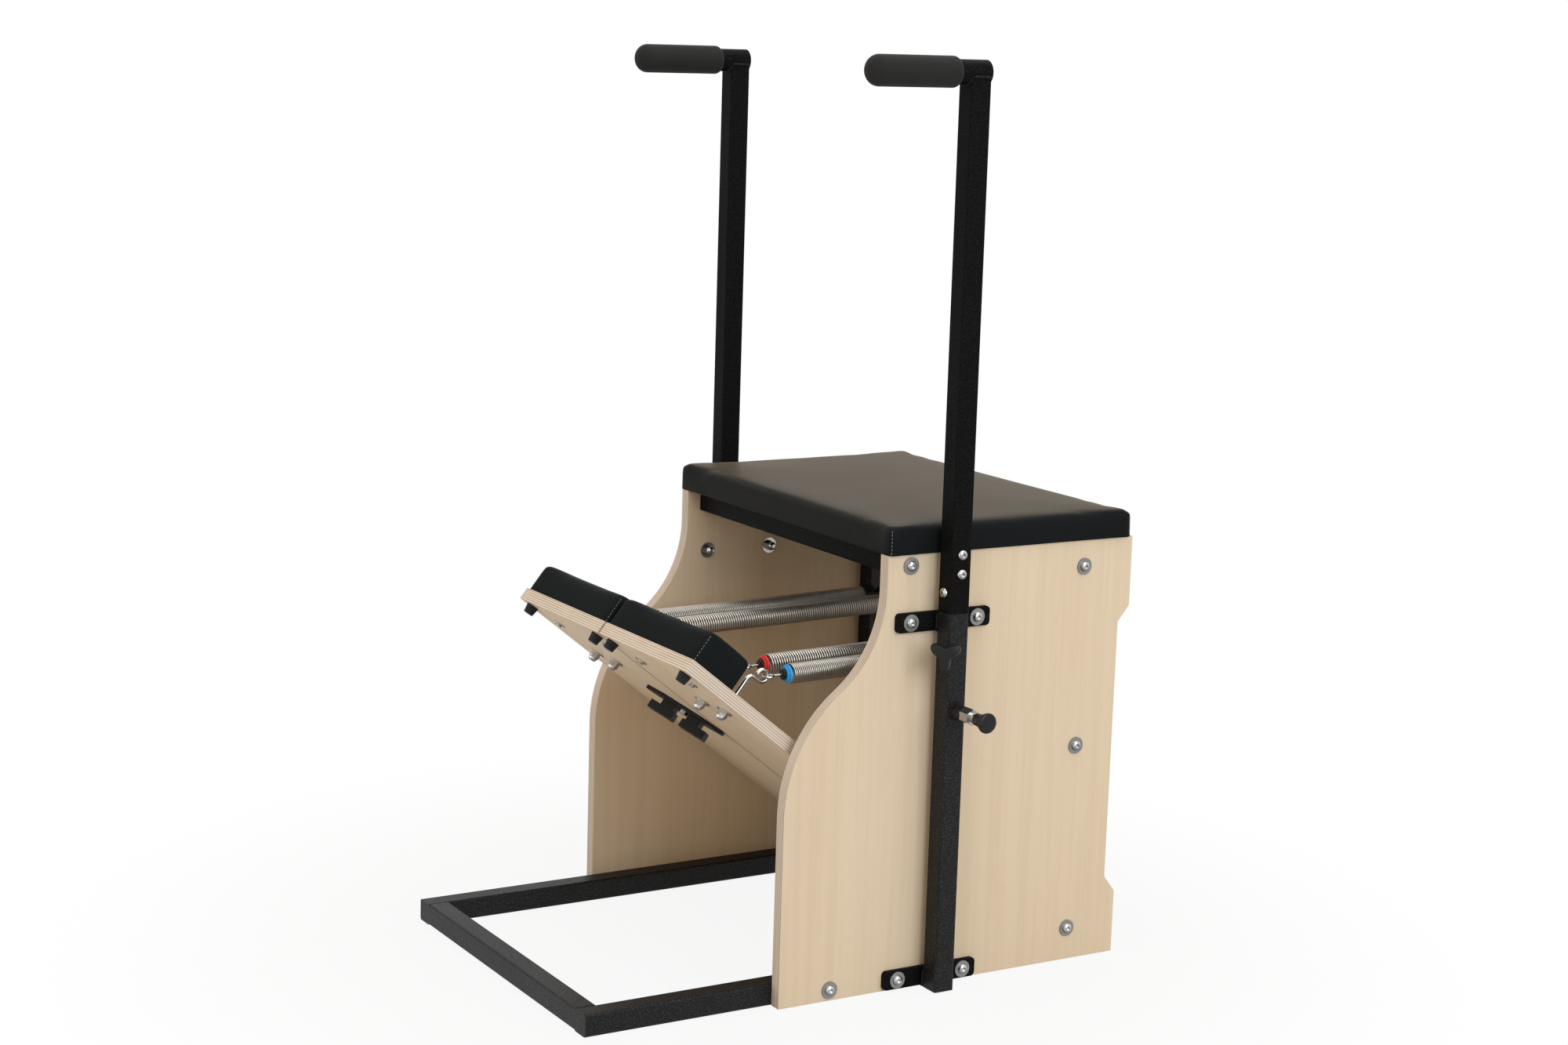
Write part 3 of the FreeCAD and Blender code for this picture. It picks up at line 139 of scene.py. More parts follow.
class SeatSizes(bpy.types.PropertyGroup):
    corner: length("Corner", "Round of the seat's upright corners", 0.008)
    edge: length("Edge", "Round of the seat's top edge", 0.007)
    crown: length("Crown", "Rise of the seat's middle over its edge", 0.002)
    draw: length("Draw", "How far the sides pull in between the corners", 0.002)
    swell: length("Swell", "How far the filling may push the cover out", 0.004)
    voxel: length("Voxel", "Grain of the cloth that is blown up", 0.0052)
    eases: count("Eases", "How often the cover is smoothed", 6)


class PadSizes(bpy.types.PropertyGroup):
    corner: length("Corner", "Round of a pad's upright corners", 0.004)
    edge: length("Edge", "Round of a pad's top edge", 0.006)
    crown: length("Crown", "Rise of a pad's middle over its edge", 0.004)
    draw: length("Draw", "How far the sides pull in between the corners", 0.0015)
    swell: length("Swell", "How far the filling may push the cover out", 0.0015)
    voxel: length("Voxel", "Grain of the cloth that is blown up", 0.0036)
    eases: count("Eases", "How often the cover is smoothed", 14)


class StitchSizes(bpy.types.PropertyGroup):
    pitch: length("Pitch", "From one stitch to the next", 0.0048)
    reach: length("Reach", "Length of one stitch", 0.0032)
    thread: length("Thread", "Thickness of the thread", 0.0010)
    groove: length("Groove", "Depth of the seam", 0.0011)
    groove_width: length("Groove width", "Half width of the seam", 0.0022)


class SpringSizes(bpy.types.PropertyGroup):
    inner_wire: length("Inner wire", "Diameter of the inner springs' wire", 0.0029)
    inner_pitch: length("Inner pitch", "From one turn of an inner spring to the next", 0.0037)
    outer_wire: length("Outer wire", "Diameter of the outer springs' wire", 0.0023)
    outer_pitch: length("Outer pitch", "From one turn of an outer spring to the next", 0.00292)
    collar: length("Collar", "Radius of a plug's larger ring", 0.0126)
    core: length("Core", "Radius of a plug's black core", 0.0074)


class KnobSizes(bpy.types.PropertyGroup):
    start: length("Start", "From the sleeve's corner to the clamp knob", 0.013)
    depth: length("Depth", "Thickness of the clamp knob at its hub", 0.017)
    reach: length("Reach", "From the clamp knob's axis to its tips", 0.0225)
    hub: length("Hub", "From the clamp knob's axis to its hollows", 0.0098)
    stud: length("Stud", "Radius of the clamp's stud", 0.0045)
    weld: length("Weld", "Radius of a weld bead", 0.0021)


class StageSizes(bpy.types.PropertyGroup):
    camera_place: bpy.props.FloatVectorProperty(
        name="Camera",
        description="Where the camera stands",
        default=(3.19522, -1.89552, 1.25291),
        subtype="TRANSLATION",
    )
    yaw: angle("Yaw", "Turn of the camera round the chair", 59.08)
    pitch: angle("Pitch", "Tilt of the camera down", 10.14)
    roll: angle("Roll", "Lean of the camera", 1.75)
    lens: number("Lens", "Focal length in millimetres", 63.13)
    sky: number("Sky", "Strength of the even light from all sides", 0.62)
    sky_tint: colour("Sky tint", "Colour of the even light from all sides", (1.0, 0.90, 0.76))
    key_power: power("Key", "Power of the large lamp on the right", 70)
    key_tint: colour("Key tint", "Colour of the large lamp on the right", (0.80, 0.90, 1.0))
    top_power: power("Top", "Power of the large lamp above", 40)
    fill_power: power("Fill", "Power of the large lamp in front", 30)


GROUPS = {
    "chair_colours": ChairColours,
    "chair_seat": SeatSizes,
    "chair_pads": PadSizes,
    "chair_stitches": StitchSizes,
    "chair_springs": SpringSizes,
    "chair_knobs": KnobSizes,
    "chair_stage": StageSizes,
}


# Shader maths


class Wire:
    """A value in a shader tree. Arithmetic on it adds Math nodes."""

    def __init__(self, tree, socket):
        self.tree = tree
        self.socket = socket

    def maths(self, operation, *values):
        """A Math node of this operation on the values."""
        made = self.tree.nodes.new("ShaderNodeMath")
        made.operation = operation
        for socket, value in zip(made.inputs, values):
            plug_in(self.tree, socket, value)
        return Wire(self.tree, made.outputs[0])

    def __add__(self, other):
        return self.maths("ADD", self, other)

    __radd__ = __add__

    def __sub__(self, other):
        return self.maths("SUBTRACT", self, other)

    def __rsub__(self, other):
        return self.maths("SUBTRACT", other, self)

    def __mul__(self, other):
        return self.maths("MULTIPLY", self, other)

    __rmul__ = __mul__

    def __abs__(self):
        return self.maths("ABSOLUTE", self)

    def fraction(self):
        """What is left after the whole part."""
        return self.maths("FRACT", self)

    def larger(self, other):
        """The larger of two values."""
        return self.maths("MAXIMUM", self, other)


def plug_in(tree, socket, value):
    """Links a wire to a socket, or sets the socket's own value."""
    if isinstance(value, Wire):
        tree.links.new(value.socket, socket)
    else:
        socket.default_value = value


def rgba(value):
    """A colour with its alpha, or a wire as it is."""
    return value if isinstance(value, Wire) else (*value, 1.0)


def toned(tint, factor):
    """A colour made lighter or darker by a factor."""
    return [factor * part for part in tint]


class Tree:
    """A shader tree with one way to add a node."""

    def __init__(self, tree):
        self.tree = tree

    def node(self, kind, settings, inputs, output=0):
        """Adds a node of a kind, sets it up, feeds its inputs and gives one output."""
        made = self.tree.nodes.new(kind)
        for key, value in settings.items():
            setattr(made, key, value)
        for key, value in inputs.items():
            plug_in(self.tree, made.inputs[key], value)
        return Wire(self.tree, made.outputs[output])

    def mix(self, factor, first, second):
        """A colour between two colours."""
        inputs = {0: factor, 6: rgba(first), 7: rgba(second)}
        return self.node("ShaderNodeMix", {"data_type": "RGBA"}, inputs, 2)

    def sight(self):
        """1 for rays from the camera, mirrors and glass, and 0 for the light on the chair."""
        rays = ("Is Camera Ray", "Is Glossy Ray", "Is Transmission Ray")
        camera, glossy, through = (self.node("ShaderNodeLightPath", {}, {}, ray) for ray in rays)
        return camera.larger(glossy).larger(through)


class Finish(Tree):
    """A material in the making, with its main shader. Its noises' scales are repeats in a metre."""

    def __init__(self, name, **constants):
        self.material = bpy.data.materials.new(name)
        self.material.use_nodes = True
        super().__init__(self.material.node_tree)
        self.shader = self.tree.nodes["Principled BSDF"]
        for key, value in constants.items():
            self.set(key.replace("_", " ").title().replace("Ior", "IOR"), value)

    def set(self, key, value):
        """Sets or links an input of the main shader. Three plain numbers are a colour."""
        plug_in(self.tree, self.shader.inputs[key], rgba(value) if isinstance(value, tuple) else value)

    def place(self):
        """Object coordinates, in metres."""
        return self.node("ShaderNodeTexCoord", {}, {}, "Object")

    def outward(self):
        """The surface's outward direction, in object coordinates."""
        return self.node("ShaderNodeTexCoord", {}, {}, "Normal")

    def noise(self, vector, scale, detail=2.0, roughness=0.5):
        """Cloudy noise from 0 to 1."""
        inputs = {"Vector": vector, "Scale": scale, "Detail": detail, "Roughness": roughness}
        return self.node("ShaderNodeTexNoise", {}, inputs)

    def grain(self, vector, scales, detail=2.0, roughness=0.5):
        """Cloudy noise that is drawn out, with its own scale along each axis."""
        inputs = {0: vector, 1: scales}
        drawn = self.node("ShaderNodeVectorMath", {"operation": "MULTIPLY"}, inputs)
        return self.noise(drawn, 1.0, detail, roughness)

    def cells(self, vector, scale):
        """Distance from the middle of small irregular cells."""
        inputs = {"Vector": vector, "Scale": scale}
        return self.node("ShaderNodeTexVoronoi", {"feature": "SMOOTH_F1"}, inputs)

    def step(self, value, low, high):
        """A smooth step from 0 at low to 1 at high."""
        inputs = {"Value": value, "From Min": low, "From Max": high}
        return self.node("ShaderNodeMapRange", {"interpolation_type": "SMOOTHSTEP"}, inputs)

    def parts(self, vector):
        """The three parts of a vector."""
        return [self.node("ShaderNodeSeparateXYZ", {}, {0: vector}, index) for index in range(3)]

    def bump(self, height, strength, distance):
        """Feeds a height to the shader's normal."""
        inputs = {"Height": height, "Strength": strength, "Distance": distance}
        self.set("Normal", self.node("ShaderNodeBump", {}, inputs))


# Finishes


PLY_LAYERS = 11.0
SHEEN_TINT = (1.0, 0.79, 0.53)

# Frames of the plywood, whose rows run across the grain, along it and through the layers
PANEL_TURN = (tuple(DEPTH), tuple(UP), tuple(ACROSS))
PEDAL_TURN = (tuple(ACROSS), tuple(PEDAL_ALONG), tuple(PEDAL_UP))

# Scales of the wood's noises in such a frame
BROAD = (11.0, 0.7, 11.0)
STREAKS = (95.0, 2.0, 95.0)
FINE = (520.0, 8.0, 520.0)
FLECKS = (330.0, 24.0, 330.0)
FIBRES = (900.0, 60.0, 1500.0)
WEAR = (26.0, 7.0, 160.0)


def plywood(name, turn, shift, ply):
    """Lacquered plywood, with Y along the grain and Z through the layers, from 0 to ply.

    The face mixes two wood colours by long streaks of noise, and adds short dark flecks. Where the
    surface turns away from Z the layers show: bands of Z, in turn broad and pale, and thin and dark.
    """
    colours = bpy.context.scene.chair_colours
    finish = Finish(name, specular_ior_level=0.04)
    angles = tuple(Matrix(turn).to_euler("XYZ"))
    inputs = {"Vector": finish.place(), "Location": shift, "Rotation": angles}
    local = finish.node("ShaderNodeMapping", {"vector_type": "POINT"}, inputs)
    inputs = {"Vector": finish.outward(), "Rotation": angles}
    outward = finish.node("ShaderNodeMapping", {"vector_type": "VECTOR"}, inputs)
    facing = finish.step(abs(finish.parts(outward)[2]), 0.5, 0.75)

    broad = finish.step(finish.grain(local, BROAD), 0.34, 0.74)
    streak = finish.grain(local, STREAKS, 4.0, 0.62)
    fine = finish.grain(local, FINE)
    fleck = finish.step(finish.grain(local, FLECKS, 1.0), 0.70, 0.77)
    grain = 0.42 * finish.step(streak, 0.36, 0.74) + 0.45 * broad + 0.26 * (fine - 0.5)
    face = finish.mix(0.50 * grain, colours.wood_pale, colours.wood_dark)
    face = finish.mix(0.14 * fleck, face, toned(colours.wood_dark, 0.62))

    layer = finish.parts(local)[2] * (PLY_LAYERS / ply)
    turned = finish.step(abs((0.5 * layer).fraction() - 0.5), 0.27, 0.35)
    fibre = finish.grain(local, FIBRES, 3.0)
    dark = 0.90 * turned * (0.15 + finish.grain(local, WEAR)) + 0.20 * (fibre - 0.4)
    edge = finish.mix(dark, colours.edge_pale, colours.edge_dark)

    finish.set("Base Color", finish.mix(facing, edge, face))
    finish.set("Roughness", 0.60 - 0.14 * facing + 0.10 * (streak - 0.5))
    finish.bump(0.5 * streak + 0.5 * fibre, 0.10, 0.0004)
    return finish.material


def coated_steel(name, wrinkle_and_glint, roughness, shine):
    """Black powder coat: a pebbled height of cells and noise, painted glints on its peaks, and uneven
    roughness.
    """
    steel = bpy.context.scene.chair_colours.steel
    finish = Finish(name, specular_ior_level=shine)
    where = finish.place()
    pebbles = finish.cells(where, 540.0)
    cloud = finish.noise(where, 600.0)
    patch = finish.noise(where, 9.0)
    # Painted glints: the peaks of the pebbling are lightened towards 13 times the coat's colour, by the
    # same share that sets the wrinkle's bump.
    painted_glint_peaks = finish.step(cloud + 0.5 * (0.5 - pebbles), 0.52, 0.78)
    finish.set("Base Color", finish.mix(wrinkle_and_glint * painted_glint_peaks, steel, toned(steel, 13.0)))
    finish.set("Roughness", roughness + 0.16 * (cloud - 0.5) + 0.10 * (patch - 0.5))
    finish.bump(0.7 * pebbles + 0.6 * cloud, wrinkle_and_glint, 0.0010)
    return finish.material


def bright_steel(name, tint, roughness, shade):
    """Plated metal: painted top light where it faces up and painted shade where it faces down; noise in
    two sizes clouds its shine and colour.
    """
    finish = Finish(name, metallic=1.0)
    where = finish.place()
    smear = finish.noise(where, 140.0, 3.0)
    patch = finish.noise(where, 30.0)
    # Painted light and shade: the colour is the full tint where the surface faces up and falls to the
    # shade share of it where it faces down.
    facing = finish.parts(finish.outward())[2]
    painted_light_mask = finish.step(facing + 0.5 * (patch - 0.5), -0.75, 0.80)
    finish.set("Base Color", finish.mix(painted_light_mask, toned(tint, shade), tint))
    finish.set("Roughness", roughness + 0.14 * (smear - 0.4))
    finish.bump(smear, 0.05, 0.0002)
    return finish.material


def vinyl(name, sheen, shine, tone):
    """Upholstery vinyl: a fine leather grain of cells, and soft patches of uneven roughness."""
    cover = toned(bpy.context.scene.chair_colours.vinyl, tone)
    soft = {"sheen_weight": sheen, "sheen_roughness": 0.3, "sheen_tint": SHEEN_TINT}
    finish = Finish(name, specular_ior_level=shine, **soft)
    where = finish.place()
    grain = finish.cells(where, 880.0)
    pores = finish.noise(where, 1500.0)
    patch = finish.noise(where, 7.0)
    finish.set("Base Color", finish.mix(grain, cover, toned(cover, 1.5)))
    finish.set("Roughness", 0.43 + 0.10 * (patch - 0.5) + 0.08 * (pores - 0.5))
    finish.bump(0.8 * grain + 0.3 * pores, 0.16, 0.0004)
    return finish.material


def foam(name):
    """Dense rubber foam: tiny open cells and a cloudy, dull surface."""
    tint = bpy.context.scene.chair_colours.foam
    finish = Finish(name, specular_ior_level=0.06, sheen_weight=0.12, sheen_roughness=0.4)
    where = finish.place()
    cells = finish.cells(where, 1400.0)
    patch = finish.noise(where, 22.0, 3.0)
    finish.set("Base Color", finish.mix(patch, tint, toned(tint, 1.35)))
    finish.set("Roughness", 0.82 + 0.14 * (cells - 0.4))
    finish.bump(cells, 0.22, 0.0004)
    return finish.material


def moulded(name, tint, roughness):
    """Moulded plastic or rubber: a faint sparked texture with uneven roughness."""
    finish = Finish(name, specular_ior_level=0.26)
    where = finish.place()
    spark = finish.noise(where, 1300.0)
    patch = finish.noise(where, 45.0)
    finish.set("Base Color", finish.mix(patch, tint, toned(tint, 1.3)))
    finish.set("Roughness", roughness + 0.12 * (patch - 0.5) + 0.08 * (spark - 0.5))
    finish.bump(spark, 0.08, 0.0003)
    return finish.material


def sewing_thread(name):
    """Twisted thread: fine noise varies its colour."""
    tint = bpy.context.scene.chair_colours.thread
    finish = Finish(name, specular_ior_level=0.3)
    twist = finish.noise(finish.place(), 2600.0, 1.0)
    finish.set("Base Color", finish.mix(twist, toned(tint, 0.6), tint))
    finish.set("Roughness", 0.7 + 0.2 * (twist - 0.5))
    return finish.material


def dress(names, material):
    """Puts a material on every slot of these frame nodes."""
    for name in names:
        mesh = NODES[name].data
        mesh.materials.clear()
        mesh.materials.append(material)


def both(*stems):
    """Node names for the left and the right side."""
    return [f"{stem}_{side}" for stem in stems for side in SIDES]


# Surfaces


SHARP_ANGLE = math.radians(42)
STEEP = 0.9


def mesh_points(mesh):
    """The points of a mesh as an array."""
    points = np.empty(len(mesh.vertices) * 3)
    mesh.vertices.foreach_get("co", points)
    return points.reshape(-1, 3)


def set_points(piece, points):
    """Moves the points of a piece's mesh."""
    piece.data.vertices.foreach_set("co", points.ravel())
    piece.data.update()


def node_points(name):
    """The points of a frame node, at rest."""
    return mesh_points(NODES[name].data)


def node_box(name):
    """The lowest and the highest corner of a frame node, as arrays."""
    return [np.array(corner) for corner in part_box(name)]


def node_middle(name):
    """The middle of a frame node's box."""
    low, high = node_box(name)
    return (low + high) / 2


def spread(points, origin, axis):
    """The lowest and highest place of points along an axis."""
    along = (points - origin) @ axis
    return along.min(), along.max()


def unit(vectors):
    """Vectors brought to length 1."""
    return vectors / np.linalg.norm(vectors, axis=-1, keepdims=True)


def signed_volume(points, faces):
    """Six times the volume that the faces enclose, negative where they point inwards."""
    total = 0.0
    for group in faces:
        first = points[group[:, 0]]
        for step in range(1, group.shape[1] - 1):
            second, third = points[group[:, step]], points[group[:, step + 1]]
            total += np.einsum("ij,ij->", first, np.cross(second, third))
    return total


def shell(grid, looped=False):
    """Points on a grid as one closed skin: (points, groups of faces).

    Each cell is a quad and each row is a closed ring. A looped grid joins its last row to its first one,
    and any other ends in a fan of triangles round the mean of its first and of its last row.
    """
    rows, columns = grid.shape[:2]
    points = grid.reshape(-1, 3)
    lower = np.arange(rows if looped else rows - 1)
    row, column = np.meshgrid(lower, np.arange(columns), indexing="ij")
    after = (column + 1) % columns
    above = (row + 1) % rows * columns
    row = row * columns
    cells = [row + column, row + after, above + after, above + column]
    faces = [np.stack(cells, axis=-1).reshape(-1, 4)]
    if not looped:
        ring = np.arange(columns)
        turn = (ring + 1) % columns
        last = (rows - 1) * columns
        low = np.full(columns, rows * columns)
        faces.append(np.stack([turn, ring, low], axis=-1))
        faces.append(np.stack([last + ring, last + turn, low + 1], axis=-1))
        points = np.concatenate([points, [grid[0].mean(axis=0)], [grid[-1].mean(axis=0)]])
    if signed_volume(points, faces) < 0:
        faces = [group[:, ::-1] for group in faces]
    return points, faces


def lathe(rows, origin, axis, columns=48):
    """A skin from rows of (along, radius) turned about an axis: each row is a ring of that radius."""
    axis = unit(np.asarray(axis))
    side = unit(np.cross(axis, UP if abs(axis[2]) < STEEP else ACROSS))
    turn = np.linspace(0, 2 * np.pi, columns, endpoint=False)
    ring = np.cos(turn)[:, None] * side + np.sin(turn)[:, None] * np.cross(axis, side)
    rows = np.asarray(rows)
    return shell(np.asarray(origin) + rows[:, :1, None] * axis + rows[:, 1:, None] * ring)


def tube(path, radii, first, second, columns=8, looped=False):
    """A skin from a round section along a path: ring = place + radius (first cos + second sin)."""
    turn = np.linspace(0, 2 * np.pi, columns, endpoint=False)[None, :, None]
    ring = np.cos(turn) * first[:, None, :] + np.sin(turn) * second[:, None, :]
    return shell(path[:, None, :] + np.asarray(radii)[:, None, None] * ring, looped)


def make_piece(name, shells, material, body, replaced=()):
    """One object from closed skins, which rides on a body and stands for some frame nodes."""
    points, faces, offset = [], [], 0
    for part_points, part_faces in shells:
        points.append(part_points)
        faces += [row for group in part_faces for row in (group + offset).tolist()]
        offset += len(part_points)
    mesh = bpy.data.meshes.new(name)
    mesh.from_pydata(np.concatenate(points).tolist(), [], faces)
    finish_mesh(mesh, material)
    piece = bpy.data.objects.new(name, mesh)
    bpy.context.scene.collection.objects.link(piece)
    if body:
        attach(piece, body)
    if replaced:
        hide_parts(*replaced)
    return piece


def finish_mesh(mesh, material):
    """Smooth faces with sharp edges kept, in one material."""
    mesh.shade_smooth()
    mesh.set_sharp_from_angle(angle=SHARP_ANGLE)
    mesh.materials.clear()
    mesh.materials.append(material)
    mesh.update()


# Stuffed pieces


# Divisions of a stuffed block, and the shares of its half width and of its edge that its underside uses
CORNERS = ((1, 1), (-1, 1), (-1, -1), (1, -1))
ARC_STEPS = 7
RUN_STEPS = 20
WALL_STEPS = 6
TOP_STEPS = 10
TOP_REACH = 0.96
BASE_INSETS = (0.95, 0.5)
FOOT_SHARE = 0.2

# The cloth that is blown up
PRESSURE = 4.0
LAST_FRAME = 20
HELD_INSET = 0.012
LEAST_MOVE = 1e-9
EASE_FACTOR = 0.5

# How deep a cover is tucked under, how far the seat's skirt and the pads differ from their solids
TUCK = 0.010
SKIRT_GAP = 0.0004
PAD_RISE = 0.003

# A stitch's rings, the angle that is cut off its tips, and the least radius there
STITCH_STEPS = 5
STITCH_COLUMNS = 6
STITCH_TIP = 0.25
STITCH_LEAST = 1e-5


def rounded_outline(half_width, half_depth, corner):
    """A rectangle with round corners: four quarter arcs, joined by evenly divided straight runs."""
    centres = np.array(CORNERS) * (half_width - corner, half_depth - corner)
    starts = np.arange(len(CORNERS)) * np.pi / 2
    angles = starts[:, None] + np.linspace(0, np.pi / 2, ARC_STEPS)
    arcs = centres[:, None, :] + corner * np.stack([np.cos(angles), np.sin(angles)], axis=-1)
    shares = np.linspace(0, 1, RUN_STEPS + 2)[1:-1, None]
    ends, begins = arcs[:, -1:], np.roll(arcs, -1, axis=0)[:, :1]
    runs = ends + shares * (begins - ends)
    return np.concatenate([arcs, runs], axis=1).reshape(-1, 2)


def stuffed_block(low, high, sizes):
    """A stuffed block's skin: an outline carried up a side, over a round edge and in over a crowned top.

    Each row is the outline, scaled to lie inset from the sides, at its own height. The sides pull in by
    the draw at their middle, less towards the corners by the square of the distance.
    """
    half = (high - low)[:2] / 2
    middle = (high + low)[:2] / 2
    outline = rounded_outline(*half, sizes.corner)
    least = half.min()
    edge = sizes.edge
    foot = FOOT_SHARE * edge
    rim = high[2] - sizes.crown
    insets = [*(share * least for share in BASE_INSETS), foot]
    base = np.stack([insets, np.full(len(insets), low[2])], axis=-1)
    wall = np.stack([np.zeros(WALL_STEPS), np.linspace(low[2] + foot, rim - edge, WALL_STEPS)], axis=-1)
    turn = np.linspace(0, np.pi / 2, ARC_STEPS)[1:]
    bend = np.stack([edge * (1 - np.cos(turn)), rim - edge + edge * np.sin(turn)], axis=-1)
    shares = np.linspace(0, TOP_REACH, TOP_STEPS)[1:]
    rise = sizes.crown * (1 - (1 - shares) ** 2)
    top = np.stack([edge + shares * (least - edge), rim + rise], axis=-1)
    rows = np.concatenate([base, wall, bend, top])
    pulled = sizes.draw * (1 - (outline[:, ::-1] / half[::-1]) ** 2)
    drawn = outline * (1 - pulled / half)
    scale = (half - rows[:, :1]) / half
    flat = middle + scale[:, None, :] * drawn
    heights = np.broadcast_to(rows[:, 1, None, None], (len(rows), len(outline), 1))
    return shell(np.concatenate([flat, heights], axis=-1))


def settle(piece):
    """Turns a piece's live modifiers into its own mesh."""
    depsgraph = bpy.context.evaluated_depsgraph_get()
    made = bpy.data.meshes.new_from_object(piece.evaluated_get(depsgraph))
    piece.modifiers.clear()
    old = piece.data
    piece.data = made
    bpy.data.meshes.remove(old)


def puff(piece, voxel, swell, floor_height):
    """Blows a piece up as cloth. Its underside is held, and no point moves further than the swell."""
    scene = bpy.context.scene
    remesh = piece.modifiers.new("Remesh", "REMESH")
    remesh.mode = "VOXEL"
    remesh.voxel_size = voxel
    settle(piece)
    rest = mesh_points(piece.data)
    held = piece.vertex_groups.new(name="held")
    inset = np.minimum(rest - rest.min(axis=0), rest.max(axis=0) - rest)[:, :2].min(axis=1)
    under = (rest[:, 2] < floor_height + voxel) & (inset > HELD_INSET)
    held.add(np.flatnonzero(under).tolist(), 1.0, "REPLACE")
    cloth = piece.modifiers.new("Cloth", "CLOTH")
    cloth.settings.vertex_group_mass = "held"
    cloth.settings.use_pressure = True
    cloth.settings.uniform_pressure_force = PRESSURE
    cloth.settings.effector_weights.gravity = 0
    cloth.point_cache.frame_start = 1
    cloth.point_cache.frame_end = LAST_FRAME
    for step in range(1, LAST_FRAME + 1):
        scene.frame_set(step)
    settle(piece)
    move = mesh_points(piece.data) - rest
    reach = np.linalg.norm(move, axis=1, keepdims=True)
    set_points(piece, rest + move * np.minimum(1, swell / np.maximum(reach, LEAST_MOVE)))
    piece.vertex_groups.clear()
    scene.frame_set(1)


def ease(piece, times):
    """Smooths small ripples out of a cover."""
    smooth = piece.modifiers.new("Ease", "SMOOTH")
    smooth.factor = EASE_FACTOR
    smooth.iterations = times
    settle(piece)


def subdivide(piece):
    """One level of subdivision, made part of the mesh."""
    smooth = piece.modifiers.new("Subdivision", "SUBSURF")
    smooth.levels = 1
    smooth.render_levels = 1
    settle(piece)


def fit_box(piece, low, high):
    """Stretches a piece to fill a box: each coordinate keeps its share of the way from side to side."""
    points = mesh_points(piece.data)
    least, most = points.min(axis=0), points.max(axis=0)
    set_points(piece, low + (points - least) / (most - least) * (high - low))


def press_seams(piece, seams, stitches):
    """Sinks upright seams: depth = groove exp(-(distance / width)**2), along the surface's normal."""
    points = mesh_points(piece.data)
    normals = np.empty(len(points) * 3)
    piece.data.vertex_normals.foreach_get("vector", normals)
    sunk = np.zeros(len(points))
    for place, low, high in seams:
        away = np.linalg.norm(points[:, :2] - place, axis=1)
        inside = (points[:, 2] > low) & (points[:, 2] < high)
        sunk = np.maximum(sunk, np.where(inside, np.exp(-((away / stitches.groove_width) ** 2)), 0))
    set_points(piece, points - (stitches.groove * sunk)[:, None] * normals.reshape(-1, 3))


def corner_seams(low, high, sizes):
    """An upright seam at each corner of a stuffed block: its place on the outline and its heights."""
    inset = sizes.corner * (1 - math.sqrt(0.5))
    half = (high - low)[:2] / 2 - inset
    middle = (high + low)[:2] / 2
    bottom = low[2] + sizes.edge / 2
    top = high[2] - sizes.crown - sizes.edge / 2
    return [(middle + half * np.array(signs), bottom, top) for signs in CORNERS]


def stitch_shells(piece, seams, stitches):
    """A row of stitches along each seam, laid on the piece's surface. A stitch is a slim ellipsoid."""
    bpy.context.view_layer.update()
    made = []
    along = np.cos(np.linspace(STITCH_TIP, np.pi - STITCH_TIP, STITCH_STEPS))
    ones = np.ones((STITCH_STEPS, 1))
    radii = stitches.thread / 2 * np.sqrt(1 - along**2) + STITCH_LEAST
    for place, low, high in seams:
        for height in np.arange(low, high, stitches.pitch):
            found, centre, normal = piece.closest_point_on_mesh((*place, height))[:3]
            if not found:
                raise RuntimeError(f"no surface near a stitch of {piece.name}")
            out = np.array(normal)
            side = unit(np.cross(out, UP))
            path = np.array(centre) + (along * stitches.reach / 2)[:, None] * np.cross(side, out)
            made.append(tube(path, radii, ones * out, ones * side, STITCH_COLUMNS))
    return made


def to_pedal(points):
    """Points from the pedal's own frame, flat on its axle, to the part's frame."""
    return AXLE + points @ np.stack([ACROSS, PEDAL_ALONG, PEDAL_UP])


def upholster(name, low, high, sizes, material):
    """A stuffed piece in its own frame, blown up as cloth, with its seams.

    It is made deeper than it is by a tuck, and what hangs below its underside is then pressed flat.
    """
    stitches = bpy.context.scene.chair_stitches
    tucked = low - TUCK * UP
    start = tucked + sizes.swell * (ACROSS + DEPTH)
    block = stuffed_block(start, high - sizes.swell, sizes)
    piece = make_piece(name, [block], material, None)
    puff(piece, sizes.voxel, sizes.swell, start[2])
    ease(piece, sizes.eases)
    subdivide(piece)
    fit_box(piece, tucked, high)
    points = mesh_points(piece.data)
    points[:, 2] = np.maximum(points[:, 2], low[2])
    set_points(piece, points)
    seams = corner_seams(low, high, sizes)
    press_seams(piece, seams, stitches)
    finish_mesh(piece.data, material)
    return piece, stitch_shells(piece, seams, stitches)


# Springs and turned pieces


COIL_STEPS = 22
COIL_OVERLAP = 0.0045

# Profiles in rows of (share of the length, share of the radius)
COLLAR_ROWS = (
    (0.26, 0.40), (0.26, 0.90), (0.28, 0.96), (0.33, 1.0), (0.39, 1.0), (0.45, 0.985), (0.50, 0.94),
    (0.515, 0.86), (0.53, 0.80), (0.545, 0.85), (0.58, 0.875), (0.62, 0.875), (0.67, 0.85),
    (0.695, 0.80), (0.70, 0.74), (0.70, 0.45),
)
CORE_ROWS = (
    (0.30, 0.96), (0.65, 1.0), (0.86, 1.0), (0.90, 0.92), (0.91, 0.52), (0.97, 0.48), (1.0, 0.42),
    (1.0, 0.20),
)
KNOB_ROWS = (
    (0.24, 0.40), (0.26, 0.60), (0.36, 0.62), (0.50, 0.66), (0.64, 0.74), (0.74, 0.84), (0.82, 0.94),
    (0.87, 0.985), (0.92, 1.0), (0.955, 0.98), (0.975, 0.93), (0.99, 0.72), (1.0, 0.10),
)

# The plunger's neck: its radii in the boss and outside it, and where it ends on the way to the tip
NECK_INNER = 0.29
NECK_OUTER = 0.50
NECK_END = 0.36

